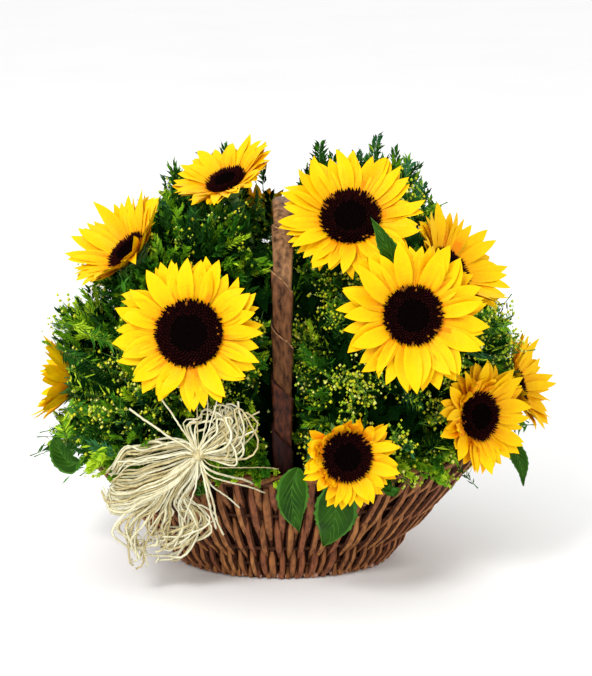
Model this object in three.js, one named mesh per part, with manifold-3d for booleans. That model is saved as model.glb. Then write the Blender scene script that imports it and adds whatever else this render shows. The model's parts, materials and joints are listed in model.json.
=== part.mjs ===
// A gift basket of cut sunflowers: an oval wicker basket with a wrapped hoop handle, a block of floral
// foam that holds the stems, thirteen sunflowers, masses of filler foliage, five sunflower leaves and a
// raffia bow.
// Millimetres, +Z up. The origin is the middle of the basket's flat underside. The basket's long side runs
// along X, and its front faces -Y.

import * as THREE from "three";
import { mergeVertices } from "three/addons/utils/BufferGeometryUtils.js";
import Module from "manifold-3d";

const wasm = await Module();
wasm.setup();

// ---------------------------------------------------------------- driving dimensions

const GAP = 0.3; // between pieces that touch
const CLEARANCE = 0.8; // foliage keeps this far from every firm piece

const basket = {
  foot: { x: 96, y: 62 }, // half-lengths of the oval foot
  mouth: { x: 182, y: 110 }, // half-lengths of the oval mouth
  height: 106, // of the woven wall, without its border
  wall: 7,
  floor: 8,
  sides: 32,
};
const border = { width: 10, height: 8 };
const handle = {
  width: 19, // along X
  thickness: 7,
  top: 334, // overall height of the basket
  halfSpan: 100.5, // outside of the two legs
  footHeight: 45, // where the legs end inside the wall
  setIn: 3, // from the wall's inside to the feet of the legs
  arcSteps: 12,
};
const foam = { top: 86, sides: 16, inset: 13 }; // small enough to stand between the handle's legs
const gripGap = { halfX: 30, halfY: 60, bottom: 287, top: 420 }; // kept free of foliage for a hand

const stem = {
  radius: 4.5,
  sides: 6,
  steps: 4,
  depthInFoam: 22,
  spread: 0.36, // how far out its foot stands, as a share of its bloom's place
  bend: 0.36, // length of each end's straight pull, as a share of the whole
};
const flower = {
  petals: 10, // in the solid's scalloped outline
  thickness: 2.6,
  notch: 0.66, // how far out the notch between two petals lies, as a share of their length
  back: 1.1, // radius of the flat back, as a share of the seed disc's
  seat: 1.02, // radius of the flat front that carries the seed disc, as a share of the disc's
};
// Points up the seed disc's dome: radius and height as shares of the disc's radius.
const dome = [[0.75, 0.3], [0, 0.255]];
// Rings of the calyx: distance along it, and radius as a share of the seed disc's.
const calyx = { depth: 15, rings: [[9, 0.66], [15, 0.8]] };
// The room kept round a bloom: its sizes as shares of the stem's, the disc's and the tips' radius, and how
// far it stays open in front of the petals.
const bloomMargin = { stem: 1.3, disc: 1.18, tips: 1.1, back: 1, front: 70, sides: 8 };

// Each bloom: where the middle of its seed disc sits, where it faces (turn is from the front, positive
// towards +X, and tilt is above the horizon, in degrees), the radius at the petal tips, the radius of the
// seed disc, and how far the petals cup forward.
const blooms = [
  { at: [-50, 20, 346], turn: -46, tilt: 62, tips: 48, disc: 17.5, cup: 15 }, // top left
  { at: [-135, -20, 291], turn: -63, tilt: 47, tips: 52, disc: 19, cup: 26 }, // upper left
  { at: [-190, -8, 170], turn: -86, tilt: 6, tips: 39, disc: 16, cup: 30 }, // far left, half open
  { at: [-77, -122, 246], turn: -8, tilt: 22, tips: 64, disc: 28, cup: 10 }, // large, front left
  { at: [58, -74, 334], turn: -4, tilt: 41, tips: 62, disc: 25, cup: 12 }, // top, right of the handle
  { at: [108, -138, 266], turn: 4, tilt: 18, tips: 63, disc: 24, cup: 10 }, // front right
  { at: [149, 12, 268], turn: 60, tilt: 42, tips: 54, disc: 20, cup: 24 }, // upper right
  { at: [54, -150, 147], turn: 10, tilt: 14, tips: 44, disc: 20.5, cup: 8 }, // low front
  { at: [168, -95, 165], turn: 37, tilt: 12, tips: 49, disc: 20, cup: 12 }, // low right
  { at: [208, -20, 168], turn: 72, tilt: 20, tips: 45, disc: 17, cup: 20 }, // far right
  { at: [-26, 104, 290], turn: 176, tilt: 44, tips: 45, disc: 18, cup: 14 }, // top back
  { at: [-98, 132, 212], turn: -158, tilt: 20, tips: 56, disc: 24, cup: 12 }, // back left
  { at: [92, 138, 190], turn: 160, tilt: 16, tips: 54, disc: 23, cup: 12 }, // back right
];

// Each mass of foliage: the middle and half-lengths of its uneven ellipsoid, and a seed for its lumps.
const masses = {
  foliage_front_left: { at: [-82, -70, 165], half: [76, 56, 82], seed: 3 },
  foliage_front_right: { at: [92, -66, 180], half: [92, 60, 98], seed: 5 },
  foliage_left: { at: [-138, -4, 178], half: [70, 88, 86], seed: 11 },
  foliage_right: { at: [142, -2, 188], half: [66, 86, 82], seed: 13 },
  foliage_top_left: { at: [-82, 8, 272], half: [70, 72, 62], seed: 17 },
  foliage_top_right: { at: [66, 14, 284], half: [66, 70, 64], seed: 19 },
  foliage_back_left: { at: [-62, 80, 205], half: [96, 66, 118], seed: 23 },
  foliage_back_right: { at: [70, 82, 205], half: [96, 66, 116], seed: 29 },
};
const heart = { at: [0, 0, 160], half: [110, 70, 95] }; // open, between the masses
const room = { sides: 18, top: basket.height + border.height + GAP + CLEARANCE };
const foliage = { detail: 2, lumps: 10, swell: 0.2, settle: 0.1, sharpness: 7 };

// Sunflower leaves: the spine from stalk to tip, the widest half-width and the way the upper face looks.
const leaves = {
  leaf_front_left: {
    spine: [[16, -134, 134], [8, -138, 118], [9, -133, 94], [14, -124, 70]],
    half: 11,
    face: [-0.25, -1, 0.2],
  },
  leaf_front_right: {
    spine: [[44, -136, 124], [46, -137, 104], [44, -129, 78], [35, -117, 54]],
    half: 18,
    face: [0.12, -1, 0.15],
  },
  leaf_middle: {
    spine: [[98, -120, 291], [93, -120, 308], [84, -122, 328], [73, -126, 346]],
    half: 8,
    face: [-0.15, -1, 0.1],
  },
  leaf_left: {
    spine: [[-181, -22, 98], [-194, -22, 96], [-203, -22, 107], [-204, -22, 126]],
    half: 6,
    face: [-0.2, -1, 0.1],
  },
  leaf_right: {
    spine: [[198, -42, 126], [206, -47, 118], [212, -53, 104], [214, -58, 87]],
    half: 7,
    face: [0.6, -0.8, 0.2],
  },
};
// A leaf's half-width at a share t of its length is half * (base + belly * (1 - t)^taper * sqrt(t)).
const leafShape = { thickness: 1.4, sections: 5, base: 0.1, belly: 1.55, taper: 0.7 };

// The bow's loops and tails: a spine, half-widths and half-thicknesses along it, and the way each faces.
const bow = {
  bow_loop_left: {
    spine: [[-76, -140, 143], [-96, -137, 130], [-116, -127, 117], [-136, -112, 111], [-150, -98, 107]],
    half: [5, 20, 26, 22, 8],
    thick: [4, 7, 8, 7, 4],
    face: [-0.45, -1, 0.1],
  },
  bow_loop_right: {
    spine: [[-64, -142, 149], [-54, -144, 160], [-42, -144, 172], [-32, -142, 182]],
    half: [5, 15, 23, 14],
    thick: [4, 6, 6, 4],
    face: [0, -1, 0.1],
  },
  bow_tail_left: {
    spine: [[-96, -122, 98], [-104, -116, 78], [-109, -108, 54], [-111, -98, 24]],
    half: [9, 15, 18, 15],
    thick: [4, 5, 5, 3],
    face: [-0.5, -1, 0],
  },
};
const bowKnot = { at: [-70, -141, 146], half: [5.2, 6, 6.5] };
const bowSides = 6;
const hoopRoom = { grow: CLEARANCE + 0.7, arcSteps: 6 }; // coarser than the hoop, so it stands further off

// ---------------------------------------------------------------- materials

function material(colour, roughness) {
  return new THREE.MeshStandardMaterial({ color: new THREE.Color(colour), roughness, metalness: 0 });
}
const materials = {
  wicker: material("#8a5630", 0.6),
  handleWrap: material("#7d5238", 0.65),
  foam: material("#2f5a38", 0.95),
  stem: material("#5d8a3a", 0.6),
  petal: material("#fbc70a", 0.55),
  disc: material("#2a0f0a", 0.9),
  leaf: material("#2f6a24", 0.55),
  foliage: material("#3f7a2c", 0.7),
  raffia: material("#e9dfb0", 0.7),
};

// ---------------------------------------------------------------- small tools

const vector = (a) => new THREE.Vector3(...a);
const radians = THREE.MathUtils.degToRad;

// A repeatable stream of numbers from 0 to 1.
function seededRandom(seed) {
  let state = seed >>> 0;
  return () => {
    state = (state + 0x6d2b79f5) >>> 0;
    let t = state;
    t = Math.imul(t ^ (t >>> 15), t | 1);
    t ^= t + Math.imul(t ^ (t >>> 7), t | 61);
    return ((t ^ (t >>> 14)) >>> 0) / 4294967296;
  };
}

// A closed solid through rings of points. Each end is closed by a fan, or the last ring joins the first.
// Each four-sided face is split along its shorter diagonal.
function loft(rings, joined = false) {
  const sides = rings[0].length;
  const points = rings.flat();
  const faces = [];
  const spans = joined ? rings.length : rings.length - 1;
  for (let i = 0; i < spans; i++) {
    const a = i * sides;
    const b = ((i + 1) % rings.length) * sides;
    for (let j = 0; j < sides; j++) {
      const k = (j + 1) % sides;
      const split = points[a + j].distanceTo(points[b + k]) < points[a + k].distanceTo(points[b + j]);
      if (split) faces.push(a + j, a + k, b + k, a + j, b + k, b + j);
      else faces.push(a + j, a + k, b + j, a + k, b + k, b + j);
    }
  }
  if (!joined) {
    closeEnd(points, faces, 0, sides, true);
    closeEnd(points, faces, (rings.length - 1) * sides, sides, false);
  }
  return facingOut(new THREE.BufferGeometry().setFromPoints(points).setIndex(faces));
}

function closeEnd(points, faces, start, sides, first) {
  const middle = new THREE.Vector3();
  for (let j = 0; j < sides; j++) middle.addScaledVector(points[start + j], 1 / sides);
  points.push(middle);
  for (let j = 0; j < sides; j++) {
    const here = start + j;
    const next = start + ((j + 1) % sides);
    faces.push(points.length - 1, first ? next : here, first ? here : next);
  }
}

// Turns every face round if the solid is inside out.
function facingOut(geometry) {
  const position = geometry.attributes.position;
  const faces = geometry.index.array;
  const corner = (i) => new THREE.Vector3().fromBufferAttribute(position, faces[i]);
  let volume = 0;
  for (let i = 0; i < faces.length; i += 3) {
    volume += corner(i).dot(corner(i + 1).cross(corner(i + 2))) / 6;
  }
  if (volume < 0) {
    for (let i = 0; i < faces.length; i += 3) {
      [faces[i + 1], faces[i + 2]] = [faces[i + 2], faces[i + 1]];
    }
  }
  return geometry;
}

// A profile of [radius, height] points turned about Z.
function turned(profile, sides) {
  const points = profile.map(([radius, height]) => new THREE.Vector2(radius, height));
  return new THREE.LatheGeometry(points, sides).rotateX(Math.PI / 2);
}

function solidOf(geometry) {
  const bare = geometry.clone();
  for (const name of ["normal", "uv"]) bare.deleteAttribute(name);
  const merged = mergeVertices(bare, 1e-3);
  return new wasm.Manifold(
    new wasm.Mesh({
      numProp: 3,
      vertProperties: merged.attributes.position.array,
      triVerts: new Uint32Array(merged.index.array),
    }),
  );
}

function geometryOf(solid) {
  const mesh = solid.getMesh();
  return new THREE.BufferGeometry()
    .setAttribute("position", new THREE.BufferAttribute(mesh.vertProperties, 3))
    .setIndex(new THREE.BufferAttribute(mesh.triVerts, 1));
}

function largestBody(solid) {
  return solid.decompose().reduce((best, body) => (body.volume() > best.volume() ? body : best));
}

function named(name, geometry, finish) {
  const mesh = new THREE.Mesh(geometry, finish);
  mesh.name = name;
  return mesh;
}

// ---------------------------------------------------------------- basket

// Half-lengths of the basket's outside at a height.
function basketOutline(z) {
  const share = z / basket.height;
  return {
    x: THREE.MathUtils.lerp(basket.foot.x, basket.mouth.x, share),
    y: THREE.MathUtils.lerp(basket.foot.y, basket.mouth.y, share),
  };
}

function ovalRing(z, inset, sides) {
  const { x, y } = basketOutline(z);
  return Array.from({ length: sides }, (_, i) => {
    const angle = (2 * Math.PI * i) / sides;
    return new THREE.Vector3((x - inset) * Math.cos(angle), (y - inset) * Math.sin(angle), z);
  });
}

function basketShell() {
  return loft([
    ovalRing(0, 0, basket.sides),
    ovalRing(basket.height, 0, basket.sides),
    ovalRing(basket.height, basket.wall, basket.sides),
    ovalRing(basket.floor, basket.wall, basket.sides),
  ]);
}

// The border is one plaited roll on the wall's top edge.
function borderRoll() {
  const out = (border.width - basket.wall) / 2;
  const inwards = out - border.width;
  const bottom = basket.height + GAP;
  const top = bottom + border.height;
  const edge = (z, inset) => ovalRing(basket.height, inset, basket.sides).map((point) => point.setZ(z));
  const rings = [edge(bottom, -out), edge(top, -out), edge(top, -inwards), edge(bottom, -inwards)];
  return loft(rings, true);
}

// The hoop stands across the short side: two legs inside the wall, upright sides and a half-round top.
function hoop(grow = 0, arcSteps = handle.arcSteps) {
  const outer = handle.halfSpan + grow;
  const inner = handle.halfSpan - handle.thickness - grow;
  const spring = handle.top - handle.halfSpan; // where the half round begins
  const shoulder = basket.height; // where the legs start to lean inwards
  const foot = handle.footHeight - grow;
  const outerFoot = basketOutline(handle.footHeight).y - basket.wall - handle.setIn + grow;
  const innerFoot = outerFoot - handle.thickness - 2 * grow;
  const outline = new THREE.Shape();
  outline.moveTo(-outerFoot, foot);
  outline.lineTo(-outer, shoulder);
  outline.lineTo(-outer, spring);
  outline.absarc(0, spring, outer, Math.PI, 0, true);
  outline.lineTo(outer, shoulder);
  outline.lineTo(outerFoot, foot);
  outline.lineTo(innerFoot, foot);
  outline.lineTo(inner, shoulder);
  outline.lineTo(inner, spring);
  outline.absarc(0, spring, inner, 0, Math.PI, false);
  outline.lineTo(-inner, shoulder);
  outline.lineTo(-innerFoot, foot);
  outline.closePath();
  const width = handle.width + 2 * grow;
  const upright = new THREE.Matrix4().makeBasis(
    new THREE.Vector3(0, 1, 0),
    new THREE.Vector3(0, 0, 1),
    new THREE.Vector3(1, 0, 0),
  );
  return new THREE.ExtrudeGeometry(outline, { depth: width, bevelEnabled: false, curveSegments: arcSteps })
    .translate(0, 0, -width / 2)
    .applyMatrix4(upright);
}

function foamBlock() {
  const inset = basket.wall + foam.inset;
  return loft([
    ovalRing(basket.floor + GAP, inset, foam.sides),
    ovalRing(foam.top, inset, foam.sides),
  ]);
}

// ---------------------------------------------------------------- sunflowers

// The way a bloom faces.
function facing({ turn, tilt }) {
  return new THREE.Vector3(0, -Math.cos(radians(tilt)), Math.sin(radians(tilt))).applyAxisAngle(
    new THREE.Vector3(0, 0, 1),
    radians(turn),
  );
}

// The ray petals as one scalloped dish. Its flat middle carries the seed disc.
function petalDish({ tips, disc, cup }) {
  const sides = 2 * flower.petals;
  const notch = THREE.MathUtils.lerp(disc, tips, flower.notch);
  const ring = (radius, height, notchRadius = radius, notchHeight = height) =>
    Array.from({ length: sides }, (_, i) => {
      const angle = (2 * Math.PI * i) / sides;
      const [r, z] = i % 2 ? [notchRadius, notchHeight] : [radius, height];
      return new THREE.Vector3(r * Math.cos(angle), r * Math.sin(angle), z);
    });
  const notchCup = cup * flower.notch;
  return loft([
    ring(disc * flower.back, -flower.thickness),
    ring(tips, cup, notch, notchCup),
    ring(disc * flower.seat, 0),
  ]);
}

function seedDisc({ disc }) {
  const crown = dome.map(([radius, height]) => [radius * disc, height * disc]);
  return turned([[0, GAP], [disc, GAP], ...crown], 10);
}

// A stem rises from its socket in the foam and bends into the back of its bloom.
function stemPath({ at, out }) {
  const socket = new THREE.Vector3(at[0], at[1], 0).multiplyScalar(stem.spread);
  socket.z = foam.top - stem.depthInFoam;
  const end = vector(at).addScaledVector(out, -flower.thickness - GAP - calyx.depth);
  const reach = socket.distanceTo(end) * stem.bend;
  const rise = new THREE.Vector3(0, 0, reach).add(socket);
  return new THREE.CubicBezierCurve3(socket, rise, end.clone().addScaledVector(out, -reach), end);
}

function stemRings(path, radius, sides) {
  const { normals, binormals } = path.computeFrenetFrames(stem.steps);
  const ring = (middle, step, r) =>
    Array.from({ length: sides }, (_, i) => {
      const angle = (2 * Math.PI * i) / sides;
      return middle
        .clone()
        .addScaledVector(normals[step], r * Math.cos(angle))
        .addScaledVector(binormals[step], r * Math.sin(angle));
    });
  const rings = normals.map((_, i) => ring(path.getPointAt(i / stem.steps), i, radius));
  return { rings, ring };
}

// The stem swells at its end into the green calyx behind the petals.
function stemWithCalyx(bloom) {
  const path = stemPath(bloom);
  const { rings, ring } = stemRings(path, stem.radius, stem.sides);
  const along = (distance) => path.getPoint(1).addScaledVector(bloom.out, distance);
  const cup = calyx.rings.map(([distance, share]) => ring(along(distance), stem.steps, bloom.disc * share));
  return loft([...rings, ...cup]);
}

// A square tube round the stem.
function stemRoom(bloom, grow) {
  const radius = (stem.radius + grow) * Math.SQRT2;
  return loft(stemRings(stemPath(bloom), radius, 4).rings);
}

// The room that a bloom needs: round its calyx, behind its petals and everything in front of them.
function bloomRoom({ tips, disc, cup }) {
  const back = -flower.thickness - CLEARANCE;
  const reach = tips * bloomMargin.tips;
  const profile = [
    [0, back - calyx.depth],
    [stem.radius * bloomMargin.stem, back - calyx.depth],
    [disc * bloomMargin.disc, back - bloomMargin.back],
    [reach, cup + back],
    [reach, cup + bloomMargin.front],
    [0, cup + bloomMargin.front],
  ];
  return turned(profile, bloomMargin.sides);
}

// ---------------------------------------------------------------- leaves and bow

// A closed solid of flat oval sections along a spine.
function paddle({ spine, face }, halfWidth, halfThickness, sections, sides) {
  const path = new THREE.CatmullRomCurve3(spine.map(vector));
  const rings = Array.from({ length: sections + 1 }, (_, i) => {
    const t = i / sections;
    const along = path.getTangent(t);
    const across = new THREE.Vector3().crossVectors(along, vector(face)).normalize();
    const up = new THREE.Vector3().crossVectors(across, along);
    return Array.from({ length: sides }, (_, j) => {
      const angle = (2 * Math.PI * j) / sides;
      return path
        .getPoint(t)
        .addScaledVector(across, halfWidth(t) * Math.cos(angle))
        .addScaledVector(up, halfThickness(t) * Math.sin(angle));
    });
  });
  return loft(rings);
}

function leafBlade(leaf, grow = 0) {
  const { base, belly, taper } = leafShape;
  const width = (t) => leaf.half * (base + belly * Math.pow(1 - t, taper) * Math.sqrt(t)) + grow;
  const thickness = () => leafShape.thickness / 2 + grow;
  return paddle(leaf, width, thickness, leafShape.sections, 4);
}

function bowPiece(piece, grow = 0) {
  const last = piece.half.length - 1;
  const pick = (list, t) => {
    const i = Math.min(Math.floor(t * last), last - 1);
    return THREE.MathUtils.lerp(list[i], list[i + 1], t * last - i) + grow;
  };
  const width = (t) => pick(piece.half, t);
  return paddle(piece, width, (t) => pick(piece.thick, t), last * 2, bowSides);
}

function knotBall(grow = 0) {
  const [x, y, z] = bowKnot.half.map((half) => half + grow);
  return new THREE.SphereGeometry(1, 6, 4).scale(x, y, z).translate(...bowKnot.at);
}

// ---------------------------------------------------------------- foliage

// An uneven ellipsoid: a faceted ball that swells into rounded lumps.
function lumpyBall({ at, half, seed }, grow = 0) {
  const random = seededRandom(seed);
  const lumps = Array.from({ length: foliage.lumps }, () =>
    new THREE.Vector3().setFromSphericalCoords(1, Math.acos(2 * random() - 1), 2 * Math.PI * random()),
  );
  const geometry = new THREE.IcosahedronGeometry(1, foliage.detail);
  const position = geometry.attributes.position;
  for (let i = 0; i < position.count; i++) {
    const way = new THREE.Vector3().fromBufferAttribute(position, i).normalize();
    let swell = 1 - foliage.settle;
    for (const lump of lumps) {
      swell += foliage.swell * Math.pow(Math.max(0, way.dot(lump)), foliage.sharpness);
    }
    position.setXYZ(
      i,
      at[0] + way.x * (half[0] * swell + grow),
      at[1] + way.y * (half[1] * swell + grow),
      at[2] + way.z * (half[2] * swell + grow),
    );
  }
  return geometry;
}

// Foliage lies on the border and hangs past it, and none of it reaches into the basket.
function basketRoom() {
  const grow = (border.width - basket.wall) / 2 + CLEARANCE;
  const clearOfCorners = 1 / Math.cos(Math.PI / room.sides);
  const mouth = ovalRing(basket.height, -grow, room.sides);
  const top = mouth.map((point) => point.clone().setZ(room.top));
  return loft([ovalRing(0, -grow, room.sides), mouth, top]).scale(clearOfCorners, clearOfCorners, 1);
}

// The shaded middle, where the stems cross.
function heartRoom() {
  const [x, y, z] = heart.half;
  return new THREE.IcosahedronGeometry(1, 1).scale(x, y, z).translate(...heart.at);
}

function gripSlot() {
  const { halfX, halfY, bottom, top } = gripGap;
  return new THREE.BoxGeometry(2 * halfX, 2 * halfY, top - bottom).translate(0, 0, (top + bottom) / 2);
}

// ---------------------------------------------------------------- assembly

const arrangement = new THREE.Group();
const firm = []; // solids that foliage is cut back from, each grown by the clearance

function addBasket() {
  const group = new THREE.Group();
  group.add(named("basket", basketShell(), materials.wicker));
  group.add(named("basket_border", borderRoll(), materials.wicker));
  group.add(named("handle", hoop(), materials.handleWrap));
  for (const shape of [basketRoom(), heartRoom(), gripSlot(), hoop(hoopRoom.grow, hoopRoom.arcSteps)]) {
    firm.push(solidOf(shape));
  }
  arrangement.add(group);
}

function addBloom(bloom, number) {
  const group = new THREE.Group();
  group.position.set(...bloom.at);
  group.quaternion.setFromUnitVectors(new THREE.Vector3(0, 0, 1), bloom.out);
  group.updateMatrix();
  group.add(named(`bloom_${number}_petals`, petalDish(bloom), materials.petal));
  group.add(named(`bloom_${number}_disc`, seedDisc(bloom), materials.disc));
  arrangement.add(group);
  arrangement.add(named(`stem_${number}`, stemWithCalyx(bloom), materials.stem));
  firm.push(solidOf(stemRoom(bloom, CLEARANCE)), solidOf(bloomRoom(bloom).applyMatrix4(group.matrix)));
}

function addFoam() {
  const sockets = blooms.map((bloom) => solidOf(stemRoom(bloom, GAP)));
  const block = solidOf(foamBlock()).subtract(wasm.Manifold.union(sockets));
  arrangement.add(named("foam_block", geometryOf(largestBody(block)), materials.foam));
}

function addLeaves() {
  for (const [name, leaf] of Object.entries(leaves)) {
    arrangement.add(named(name, leafBlade(leaf), materials.leaf));
    firm.push(solidOf(leafBlade(leaf, CLEARANCE)));
  }
}

function addBow() {
  const knot = solidOf(knotBall(GAP));
  arrangement.add(named("bow_knot", knotBall(), materials.raffia));
  firm.push(solidOf(knotBall(CLEARANCE)));
  let placed = knot;
  for (const [name, piece] of Object.entries(bow)) {
    const cut = solidOf(bowPiece(piece)).subtract(placed);
    arrangement.add(named(name, geometryOf(largestBody(cut)), materials.raffia));
    placed = placed.add(solidOf(bowPiece(piece, GAP)));
    firm.push(solidOf(bowPiece(piece, CLEARANCE)));
  }
}

// Each mass is cut back from every firm piece and from the masses before it.
function addFoliage() {
  let taken = wasm.Manifold.union(firm);
  for (const [name, mass] of Object.entries(masses)) {
    const cut = largestBody(solidOf(lumpyBall(mass)).subtract(taken));
    arrangement.add(named(name, geometryOf(cut), materials.foliage));
    taken = taken.add(solidOf(lumpyBall(mass, GAP)));
  }
}

for (const bloom of blooms) bloom.out = facing(bloom);
addBasket();
blooms.forEach((bloom, i) => addBloom(bloom, i + 1));
addFoam();
addLeaves();
addBow();
addFoliage();

export default arrangement;
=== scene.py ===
"""The looks of a gift basket of cut sunflowers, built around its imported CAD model.

Metres, +Z up, the basket's front faces -Y. Everything is placed from the frame: each bloom's middle, facing
and size are read from its CAD nodes, the foliage grows to the surface of its CAD masses, and the basket, the
handle, the leaves and the bow fill their nodes' boxes.
"""

import json
import math

import bpy
import numpy as np
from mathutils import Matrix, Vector
from mathutils.bvhtree import BVHTree


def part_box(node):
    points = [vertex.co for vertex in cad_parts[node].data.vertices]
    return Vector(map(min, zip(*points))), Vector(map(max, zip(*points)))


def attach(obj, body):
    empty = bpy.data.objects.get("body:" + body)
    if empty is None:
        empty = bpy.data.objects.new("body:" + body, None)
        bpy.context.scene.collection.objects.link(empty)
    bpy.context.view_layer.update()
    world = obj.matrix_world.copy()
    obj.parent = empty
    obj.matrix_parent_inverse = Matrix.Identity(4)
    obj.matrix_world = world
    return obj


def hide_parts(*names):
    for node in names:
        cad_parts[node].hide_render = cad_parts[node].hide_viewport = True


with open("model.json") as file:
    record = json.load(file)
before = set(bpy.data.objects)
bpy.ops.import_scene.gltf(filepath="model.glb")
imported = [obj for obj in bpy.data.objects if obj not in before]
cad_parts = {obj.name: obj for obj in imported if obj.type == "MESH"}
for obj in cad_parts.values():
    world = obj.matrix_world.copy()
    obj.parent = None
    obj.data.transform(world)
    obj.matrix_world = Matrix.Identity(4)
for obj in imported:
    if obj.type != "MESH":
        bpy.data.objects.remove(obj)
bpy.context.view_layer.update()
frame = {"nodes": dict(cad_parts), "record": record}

MM = 0.001
UP = np.array([0.0, 0.0, 1.0])
TAU = 2 * math.pi
GOLDEN_ANGLE = math.radians(137.508)

# ---------------------------------------------------------------- camera, light and floor

CAMERA_TARGET = Vector((0.0117, 0.0, 0.2074))
CAMERA_DISTANCE = 1.8
CAMERA_ELEVATION = math.radians(16)
CAMERA_LENS = 106.5
LIGHTS = {  # place, size and watts of each
    "key": ((-0.8, -1.4, 1.8), 0.6, 28),
    "fill": ((1.5, -1.3, 0.9), 1.4, 3),
    "back": ((0.3, 1.6, 1.5), 1.0, 6),
}
FLOOR_SIZE = 60


def make_camera():
    camera = bpy.data.objects.new("camera", bpy.data.cameras.new("camera"))
    bpy.context.scene.collection.objects.link(camera)
    back = Vector((0, -math.cos(CAMERA_ELEVATION), math.sin(CAMERA_ELEVATION)))
    camera.location = CAMERA_TARGET + back * CAMERA_DISTANCE
    camera.rotation_euler = (-back).to_track_quat("-Z", "Y").to_euler()
    camera.data.lens = CAMERA_LENS
    bpy.context.scene.camera = camera


def make_area_light(name, place, size, watts):
    light = bpy.data.objects.new(name, bpy.data.lights.new(name, "AREA"))
    bpy.context.scene.collection.objects.link(light)
    light.location = place
    light.rotation_euler = (CAMERA_TARGET - Vector(place)).to_track_quat("-Z", "Y").to_euler()
    light.data.size = size
    light.data.energy = watts


def make_studio():
    world = bpy.data.worlds.new("studio")
    world.use_nodes = True
    background = world.node_tree.nodes["Background"]
    background.inputs["Color"].default_value = (1, 1, 1, 1)
    background.inputs["Strength"].default_value = 1.0
    bpy.context.scene.world = world
    bpy.context.scene.view_settings.view_transform = "Standard"
    for name, (place, size, watts) in LIGHTS.items():
        make_area_light(name, place, size, watts)

    bpy.ops.mesh.primitive_plane_add(size=FLOOR_SIZE)
    floor = bpy.context.object
    floor.name = "floor"
    floor.data.materials.append(surface("floor", (0.94, 0.94, 0.94), (0.96, 0.96, 0.96), 3, 0.9, shine=0.1))


# ---------------------------------------------------------------- materials

NOISE_SPAN = (0.32, 0.68)  # the noise's values at the dark tone and at the light one
ROUGHNESS_SPREAD = 0.1
RELIEF_DEPTH = 0.4 * MM


def surface(name, dark, light, scale, roughness, bump=0.0, stretch=(1, 1, 1), detail=4, shine=0.5):
    """A material whose colour wanders between two tones. Its roughness and bump follow the same noise."""
    material = bpy.data.materials.new(name)
    material.use_nodes = True
    tree = material.node_tree
    shader = tree.nodes["Principled BSDF"]
    kinds = ("TexCoord", "Mapping", "TexNoise", "ValToRGB", "MapRange")
    place, mapping, noise, tones, gloss = (tree.nodes.new("ShaderNode" + kind) for kind in kinds)
    mapping.inputs["Scale"].default_value = stretch
    noise.inputs["Scale"].default_value = scale
    noise.inputs["Detail"].default_value = detail
    for stop, value, colour in zip(tones.color_ramp.elements, NOISE_SPAN, (dark, light)):
        stop.position = value
        stop.color = (*colour, 1)
    gloss.inputs["To Min"].default_value = max(roughness - ROUGHNESS_SPREAD, 0.05)
    gloss.inputs["To Max"].default_value = min(roughness + ROUGHNESS_SPREAD, 1)
    shader.inputs["Specular IOR Level"].default_value = shine
    wires = [
        (place.outputs["Object"], mapping.inputs["Vector"]),
        (mapping.outputs["Vector"], noise.inputs["Vector"]),
        (noise.outputs["Fac"], tones.inputs["Fac"]),
        (noise.outputs["Fac"], gloss.inputs["Value"]),
        (tones.outputs["Color"], shader.inputs["Base Color"]),
        (gloss.outputs["Result"], shader.inputs["Roughness"]),
    ]
    if bump:
        relief = tree.nodes.new("ShaderNodeBump")
        relief.inputs["Strength"].default_value = bump
        relief.inputs["Distance"].default_value = RELIEF_DEPTH
        wires.append((noise.outputs["Fac"], relief.inputs["Height"]))
        wires.append((relief.outputs["Normal"], shader.inputs["Normal"]))
    for source, goal in wires:
        tree.links.new(source, goal)
    return material


# ---------------------------------------------------------------- mesh tools


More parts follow.
